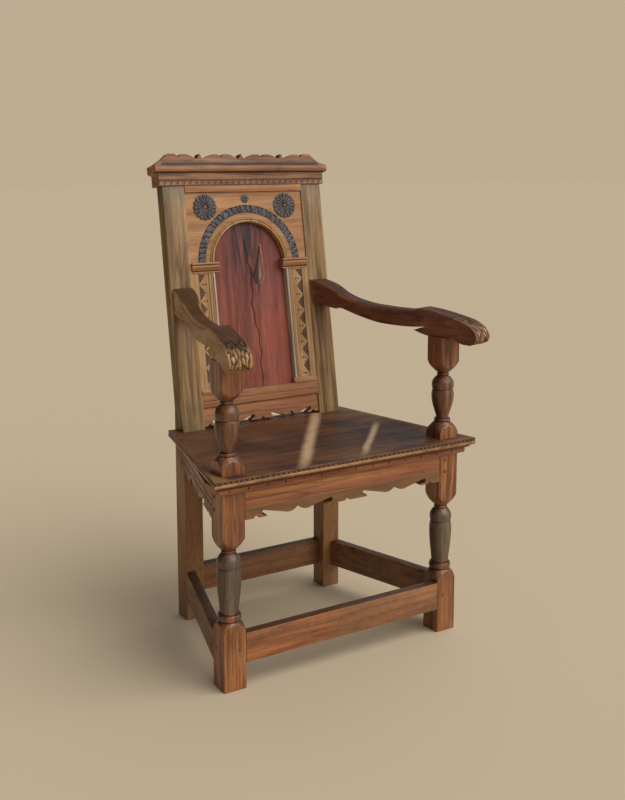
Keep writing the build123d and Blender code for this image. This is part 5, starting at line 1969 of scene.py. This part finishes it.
    def boss_relief(self, share: np.ndarray, angle: np.ndarray) -> tuple[np.ndarray, ...]:
        """Carve the boss's dome and its cross.

        Args:
            share: Share of the way out from its middle.
            angle: Angle round it.

        Returns:
            Share of its radius that the outline reaches, height, carved mask and tone.
        """
        x, y = share * np.cos(angle), share * np.sin(angle)
        cut = np.maximum(bump(x, 0.2), bump(y, 0.2)) * smooth((0.86 - share) / 0.1)
        dome = np.sqrt(np.clip(1 - (share * 0.92) ** 2, 0, 1))
        height = -3.0 * MM + 3.6 * MM * dome - 1.2 * MM * cut
        spots = bump(np.hypot(np.abs(x) - 0.42, np.abs(y) - 0.42), 0.24)
        return np.ones_like(share), height, cut * 0.9, spots


@dataclass
class Crest:
    """The crest: dog-tooth and lunettes, a torus, a cove and a sawn top."""

    frame: ChairFrame
    finish: OakFinish
    bottom: float = 554.0 * MM
    tooth_top: float = 565.5 * MM
    band_top: float = 583.0 * MM
    torus_top: float = 600.0 * MM
    cove_top: float = 610.0 * MM
    top: float = 627.0 * MM
    half_width: float = 216.0 * MM
    end_half_width: float = 225.0 * MM
    shoulder_half_width: float = 186.0 * MM
    band_face: float = 4.0 * MM
    torus_face: float = 12.0 * MM
    board_face: float = -2.0 * MM
    board_back: float = -24.0 * MM
    back: float = -36.0 * MM
    pitch: float = 107.5 * MM
    tooth_pitch: float = 15.6 * MM
    lunette_pitch: float = 27.0 * MM
    steps: int = 540

    def build(self) -> None:
        """Build the crest."""
        rows = self.rows()
        share, row = np.meshgrid(np.linspace(-1, 1, self.steps), range(len(rows)), indexing="ij")
        base_u = np.array([entry[0] for entry in rows])[row]
        base_v = np.array([entry[1] for entry in rows])[row]
        x = share * self.half_at(base_u)
        sawn = self.sawn_top(x)
        board = base_u > self.cove_top
        lift = (base_u - self.cove_top) / (self.top - self.cove_top)
        u = np.where(board, self.cove_top + lift * (sawn - self.cove_top), base_u)
        relief, carved = self.carving(x, base_u, base_v)
        grid = self.frame.back.grid(x, u, base_v + relief)
        skin = Skin()
        skin.add_grid(grid, carved, around=True)
        half_rows = len(rows) // 2
        for end in (0, -1):
            skin.add_grid(np.stack([grid[end, :half_rows], grid[end, :half_rows - 1:-1]]))
        piece = skin.build("sawn_crest", self.finish, sharp=50.0)
        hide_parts("crest_rail")
        LOG.info("crest: carved, moulded and sawn")

    def rows(self) -> list[tuple[float, float]]:
        """Return the crest's section, up the face and down the back.

        Returns:
            Its points as heights up the slope and depths.
        """
        face = [(self.bottom, self.band_face - 1.0 * MM)]
        band = np.linspace(self.bottom + 0.8 * MM, self.band_top - 0.6 * MM, 34)
        face += [(u, self.band_face) for u in band]
        face.append((self.band_top, self.band_face + 0.5 * MM))
        middle = (self.band_top + self.torus_top) / 2
        radius = (self.torus_top - self.band_top) / 2
        reach = self.torus_face - self.band_face - 2.0 * MM
        for step in range(17):
            angle = math.pi * (step / 16 - 0.5)
            v = self.band_face + 2.0 * MM + reach * math.cos(angle)
            face.append((middle + radius * math.sin(angle), v))
        proud = self.band_face + 1.0 * MM - self.board_face
        for step in range(1, 7):
            turn = math.sin(math.pi / 2 * step / 6)
            u = self.torus_top + (self.cove_top - self.torus_top) * turn
            face.append((u, self.board_face + proud * (1 - turn) ** 1.5))
        board = np.linspace(self.cove_top + 2.0 * MM, self.top - 1.0 * MM, 6)
        face += [(u, self.board_face) for u in board]
        face.append((self.top, self.board_face - 1.0 * MM))
        rear = [(u, self.board_back if u > self.cove_top else self.back) for u, _ in reversed(face)]
        return face + rear

    def half_at(self, u: np.ndarray) -> np.ndarray:
        """Return half the crest's width: moulded ends and raked shoulders.

        Args:
            u: Heights up the slope.

        Returns:
            Half the width at each height.
        """
        out = smooth((u - self.band_top + 4 * MM) / (5 * MM))
        half = self.half_width + out * (self.end_half_width - self.half_width)
        rise = np.clip((u - self.torus_top) / (self.top - self.torus_top), 0, 1)
        return half - rise**0.75 * (self.end_half_width - self.shoulder_half_width)

    def sawn_top(self, x: np.ndarray) -> np.ndarray:
        """Shape the sawn top edge: sharp peaks between rounded lobes.

        Args:
            x: Distances across from the middle.

        Returns:
            The height of the edge at each distance.
        """
        turn = np.abs(x) / self.pitch
        near = np.abs(turn - np.round(turn)) * 2.0
        inner = np.abs(x) < self.pitch * 1.56
        peak = 1.0 - smooth(near / 0.13)
        lobe = smooth((near - 0.1) / 0.55) * (1.0 - 0.6 * smooth((near - 0.86) / 0.14))
        height = np.maximum(peak, lobe * 0.9)
        outer = 1.0 - 0.62 * bump(np.abs(x) - self.pitch * 1.54, 4 * MM)
        drop = np.where(inner, 1.0 - height, 1.0 - outer)
        return self.top - 10.5 * MM * drop

    def carving(self, x: np.ndarray, u: np.ndarray, v: np.ndarray) -> tuple[np.ndarray, np.ndarray]:
        """Return the carving on the crest's face.

        Args:
            x: Distance across from the middle.
            u: Height up the slope.
            v: Depth of the uncarved section.

        Returns:
            Change in depth and the dark mask: the carving, with painted shade by the torus and on
                the top.
        """
        front = v > 0.0
        teeth = front & (u < self.tooth_top) & (u > self.bottom + 1.5 * MM)
        phase = np.abs((x / self.tooth_pitch) % 1.0 - 0.5) * 2.0
        level = (u - self.bottom) / (self.tooth_top - self.bottom)
        edge = level - (1.0 - phase)
        ground = smooth(edge / 0.2)
        carved = teeth * np.maximum(0.5 * ground, bump(edge - 0.12, 0.26))
        lunette = front & (u > self.tooth_top + 1.0 * MM) & (u < self.band_top - 1.0 * MM)
        turn = (x / self.lunette_pitch) % 1.0 - 0.5
        rise = (u - self.tooth_top) / (self.band_top - self.tooth_top)
        arc = np.abs(np.hypot(turn * 1.7, (rise - 0.1) * 0.95) - 0.62)
        line = bump(arc, 0.12) + bump(np.hypot(turn * 1.7, rise - 0.35), 0.22)
        clear = 0.25 + 0.75 * smooth((0.1 - np.abs(x - 0.03)) / 0.06)
        line = np.clip(line, 0, 1) * lunette * clear
        quirk = front & (np.abs(u - self.tooth_top - 0.4 * MM) < 0.9 * MM)
        relief = -1.3 * MM * teeth * ground - 0.6 * MM * line - 1.0 * MM * quirk
        # The sawn top is dark as end grain and as painted shade; the crease under the torus is
        # painted shade.
        dark = carved + 0.22 * line + 0.75 * quirk + 0.85 * (u >= self.top - 0.5 * MM)
        dark = dark + bump(u - self.band_top - 0.4 * MM, 2.2 * MM) * front
        # The cove over the torus is darkened as painted shade.
        cove = smooth((u - self.torus_top + 1.5 * MM) / (1.5 * MM))
        cove = cove * smooth((self.cove_top + 3 * MM - u) / (6 * MM))
        within = (v > -3 * MM) & (np.abs(x) < self.shoulder_half_width + 20 * MM)
        dark = dark + 0.85 * cove * within
        return relief, np.clip(dark, 0, 1)


# Arms


@dataclass
class Arms:
    """The two arms, sagging from the back posts to rolled and gouged hands.

    The runs of the outline, and where the hand starts, are in millimetres along the arm and up.
    """

    frame: ChairFrame
    finishes: dict[Side, OakFinish]
    half_width: float = 23.5 * MM
    waist: float = 3.0 * MM
    waist_span: tuple[float, float] = (0.05, 0.325)
    round_edge: float = 2.2 * MM
    chamfer: float = 8.0 * MM
    slices: int = 45
    hand_start: float = 425.0
    gouge_depth: float = 1.6 * MM
    painted_shade_height: float = 0.672
    rest: Run = (
        (0, 763), (38, 755), (74, 742), (122, 728), (169, 721), (211, 719), (259, 718.5),
        (311, 721), (329, 727),
    )
    roll: Run = (
        (329, 727), (371, 724), (427, 715.5), (462, 707.5), (483, 695), (492, 680), (487, 667),
        (472, 660),
    )
    underhand: Run = ((472, 660), (452, 660.5), (436, 665.5), (424, 674))
    bearing: Run = ((424, 674), (418, 669), (386, 669), (354, 669))
    cusp_low: Run = ((354, 669), (335, 672.5), (318, 677))
    cusp_high: Run = ((318, 677), (334, 683), (349, 687.5))
    belly: Run = ((349, 687.5), (300, 682.5), (252, 681), (203, 682.6), (140, 693), (87, 705))
    chin: Run = ((87, 705), (83, 704), (78, 700.6))
    chin_back: Run = ((78, 700.6), (40, 704), (0, 707))
    rest_pieces: int = 10

    def build(self) -> None:
        """Build both arms."""
        for side in Side:
            self.build_arm(side)
            LOG.info("arm %s: shaped and gouged", side.label)

    def outline(self) -> np.ndarray:
        """Return the arm's outline, seen from its side.

        Returns:
            Its points along the arm and up, in metres.
        """
        runs = (
            (self.rest, self.rest_pieces), (self.roll, 22), (self.underhand, 6), (self.bearing, 4),
            (self.cusp_low, 4), (self.cusp_high, 4), (self.belly, 7), (self.chin, 3),
            (self.chin_back, 4),
        )
        points = []
        for run, pieces in runs:
            points += flow(run, pieces)
        points.append(self.chin_back[-1])
        return np.array(points) * MM

    def build_arm(self, side: Side) -> None:
        """Build one arm.

        Args:
            side: The side that it is on.
        """
        outline = self.outline()
        before = np.roll(outline, 1, axis=0)
        after = np.roll(outline, -1, axis=0)
        before[0], after[-1] = outline[0], outline[-1]
        run = after - before
        run /= np.maximum(np.linalg.norm(run, axis=1, keepdims=True), 1e-9)
        inward = np.stack([run[:, 1], -run[:, 0]], axis=1)
        length = np.cumsum(np.linalg.norm(outline - before, axis=1))[:, None]
        lateral = np.sin(np.linspace(-math.pi / 2, math.pi / 2, self.slices))[None, :]
        spread = np.abs(lateral)
        s = outline[:, 0]
        start, end = self.waist_span
        middle = (smooth((s - start) / 0.06) * smooth((end - s) / 0.05))[:, None]
        top_points = len(flow(self.rest, self.rest_pieces))
        is_top = (np.arange(len(s)) < top_points).astype(float)[:, None]
        hand = smooth((s - self.hand_start * MM) / (12 * MM)) * (inward[:, 1] < 0.75)
        hand = hand[:, None]
        carved_field = hand * smooth((0.94 - spread) / 0.05)
        gouge = self.gouges(length, lateral)
        depth = self.rounding(outline, spread, middle * is_top)
        depth = depth + self.gouge_depth * (1 - gouge) * carved_field
        points = outline[:, None, :] + inward[:, None, :] * depth[..., None]
        across = lateral * (self.half_width - self.waist * middle)
        place = self.frame.arm(side)
        grid = place.grid(points[..., 0], points[..., 1], across)
        self.seat_rear(grid, place, outline)
        stipple = 0.35 * is_top * (0.5 + 0.5 * np.sin(length * 900 + lateral * 40))
        # The hand's underside is darkened as painted shade.
        under = smooth((self.painted_shade_height - outline[:, 1]) / 0.008)[:, None] * hand
        carved = (1 - gouge) * 1.3 * carved_field + stipple * 0.6 + 0.6 * under
        # The pale line along the hand's edge fillets is a painted highlight.
        fillet = hand * smooth((spread - 0.93) / 0.03) * (spread < 0.999)
        tone = np.clip(carved_field * gouge**1.5 + 0.9 * fillet, 0, 1)
        skin = Skin()
        skin.add_grid(
            grid.transpose(1, 0, 2), np.clip(carved, 0, 1).T, tone.T, around=True, capped=True
        )
        piece = skin.build(f"carved_arm_{side.label}", self.finishes[side], sharp=42.0)
        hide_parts(f"arm_{side.label}")

    def rounding(self, outline: np.ndarray, spread: np.ndarray, thinned: np.ndarray) -> np.ndarray:
        """Return how far the surface lies inside the outline, where edges are rounded.

        Args:
            outline: Points of the outline.
            spread: Distance across the arm, from 0 in its middle to 1 at a side.
            thinned: Share of the chamfer at each point of the outline.

        Returns:
            Depth under the outline.
        """
        edge = self.round_edge / self.half_width
        inset = self.round_edge * smooth((spread - (1 - edge)) / edge) ** 1.5
        wide = self.chamfer / self.half_width
        slope = self.chamfer * 0.75 * np.clip((spread - (1 - wide)) / wide, 0, 1)
        inset = inset + slope * thinned
        for tip in (
            self.chin[-1], self.cusp_low[-1], self.cusp_high[-1], self.underhand[0],
            self.underhand[-1],
        ):
            near = np.hypot(*(outline - np.array(tip) * MM).T)
            inset = inset * smooth(near / (9 * MM))[:, None]
        return inset

    def gouges(self, length: np.ndarray, lateral: np.ndarray) -> np.ndarray:
        """Return the hand's carving: long wavering flutes, broken by curled cuts.

        Args:
            length: Distance round the arm's outline.
            lateral: Distance across it, from -1 to 1.

        Returns:
            Height of the carving, from 0 in a cut to 1 on a ridge.
        """
        lane = (lateral + 1) * 3.5 + 0.22 * np.sin(length * 150.0 + 2.0 * np.sin(lateral * 5.0))
        ridge = np.abs(np.sin(lane * math.pi)) ** 0.7
        curl = np.sin(length * 230.0 + 3.2 * np.sin(lateral * 6.0 + 0.7))
        curl = curl * np.sin(lateral * 9.0 + length * 70.0)
        return ridge * (1 - 0.85 * smooth((curl - 0.45) / 0.3))

    def seat_rear(self, grid: np.ndarray, place: Place, outline: np.ndarray) -> None:
        """Slide the rear end along the arm until it lies on the face of the back post.

        Args:
            grid: The arm's points, changed in place.
            place: The upright plane of the arm.
            outline: The arm's outline.
        """
        back = self.frame.back
        origin, out = np.array(back.origin), np.array(back.out)
        along = np.array(place.across)
        height = (grid - origin) @ out
        rear = (outline[:, 0] < 0.5 * MM)[:, None] | (height < 0)
        grid -= along * np.where(rear, height / float(along @ out), 0.0)[..., None]


# Studio


@dataclass
class Studio:
    """Floor, world, lamps and camera."""

    paper: PaperFinish = PaperFinish()
    floor_reach: float = 40.0
    camera_place: tuple[float, float, float] = (-1.18657, -1.97748, 1.04818)
    camera_pitch: float = 8.526
    camera_yaw: float = -31.785
    lens: float = 47.96
    sensor: float = 36.0
    shift: float = -0.1
    world_strength: float = 0.85
    bright_side: tuple[float, float, float] = (0.88, -0.32, 0.34)
    dark_share: float = 0.06
    glossy_dimming: float = 0.62
    sun_strength: float = 1.95
    sun_angle: float = 58.0
    sun_direction: tuple[float, float, float] = (-0.5, 0.74, -0.95)

    def build(self) -> None:
        """Set up the whole studio."""
        self.build_floor()
        self.build_world()
        self.build_lamps()
        self.build_camera()
        view = bpy.context.scene.view_settings
        view.view_transform = "Standard"
        LOG.info("studio: floor, light and camera")

    def build_floor(self) -> None:
        """Build the plain floor."""
        reach = self.floor_reach
        mesh = bpy.data.meshes.new("studio_floor")
        corners = [(x * reach, y * reach, 0.0) for x, y in ((-1, -1), (1, -1), (1, 1), (-1, 1))]
        mesh.from_pydata(corners, [], [(0, 1, 2, 3)])
        floor = bpy.data.objects.new("studio_floor", mesh)
        floor.data.materials.append(self.paper.build())
        bpy.context.scene.collection.objects.link(floor)

    def build_world(self) -> None:
        """Light the scene evenly, and show the paper's colour past the floor."""
        world = bpy.data.worlds.new("studio_world")
        bpy.context.scene.world = world
        world.use_nodes = True
        world.node_tree.nodes.clear()
        graph = Graph(world.node_tree)
        path = graph.node("LightPath").outputs
        seen = path["Is Camera Ray"]
        toward = graph.node("TexCoord").outputs["Generated"]
        side = graph.spread(graph.dot(toward, self.bright_side), -0.6, 0.6, self.dark_share, 1.0)
        strength = graph.math("MULTIPLY", side, self.world_strength)
        dimmed = graph.math("MULTIPLY", path["Is Glossy Ray"], self.glossy_dimming)
        strength = graph.math("MULTIPLY", strength, graph.math("SUBTRACT", 1.0, dimmed))
        light = graph.node("Background", {"Color": (1.0, 0.98, 0.95, 1.0), "Strength": strength})
        paper = graph.node("Background", {"Color": colour4(self.paper.colour), "Strength": 1.0})
        mixed = graph.node("MixShader", {0: seen, 1: light.outputs[0], 2: paper.outputs[0]})
        graph.node("OutputWorld", {"Surface": mixed.outputs[0]})

    def build_lamps(self) -> None:
        """Add one broad soft key from the front right."""
        lamp = bpy.data.lights.new("key", "SUN")
        lamp.energy = self.sun_strength
        lamp.angle = math.radians(self.sun_angle)
        key = bpy.data.objects.new("key", lamp)
        key.rotation_euler = Vector(self.sun_direction).to_track_quat("-Z", "Y").to_euler()
        bpy.context.scene.collection.objects.link(key)

    def build_camera(self) -> None:
        """Add the camera."""
        data = bpy.data.cameras.new("camera")
        data.lens = self.lens
        data.sensor_width = self.sensor
        data.sensor_fit = "AUTO"
        data.shift_y = self.shift
        camera = bpy.data.objects.new("camera", data)
        camera.location = self.camera_place
        pitch, yaw = math.radians(90.0 - self.camera_pitch), math.radians(self.camera_yaw)
        camera.rotation_euler = (pitch, 0.0, yaw)
        bpy.context.scene.collection.objects.link(camera)
        bpy.context.scene.camera = camera


# The chair


def main() -> None:
    """Build the chair, piece by piece, in its studio."""
    logging.basicConfig(level=logging.INFO, format="%(message)s")
    frame = ChairFrame()
    finishes = Finishes()
    Studio().build()
    LowerFrame(finishes).build()
    FrontPosts(frame, finishes.turned).build()
    Seat(frame, finishes).build()
    BackPanel(frame, finishes.panel).build()
    Arcade(frame, finishes).build()
    Crest(frame, finishes.crest).build()
    Arms(frame, {Side.LEFT: finishes.left_arm, Side.RIGHT: finishes.right_arm}).build()


if __name__ == "__main__":
    main()
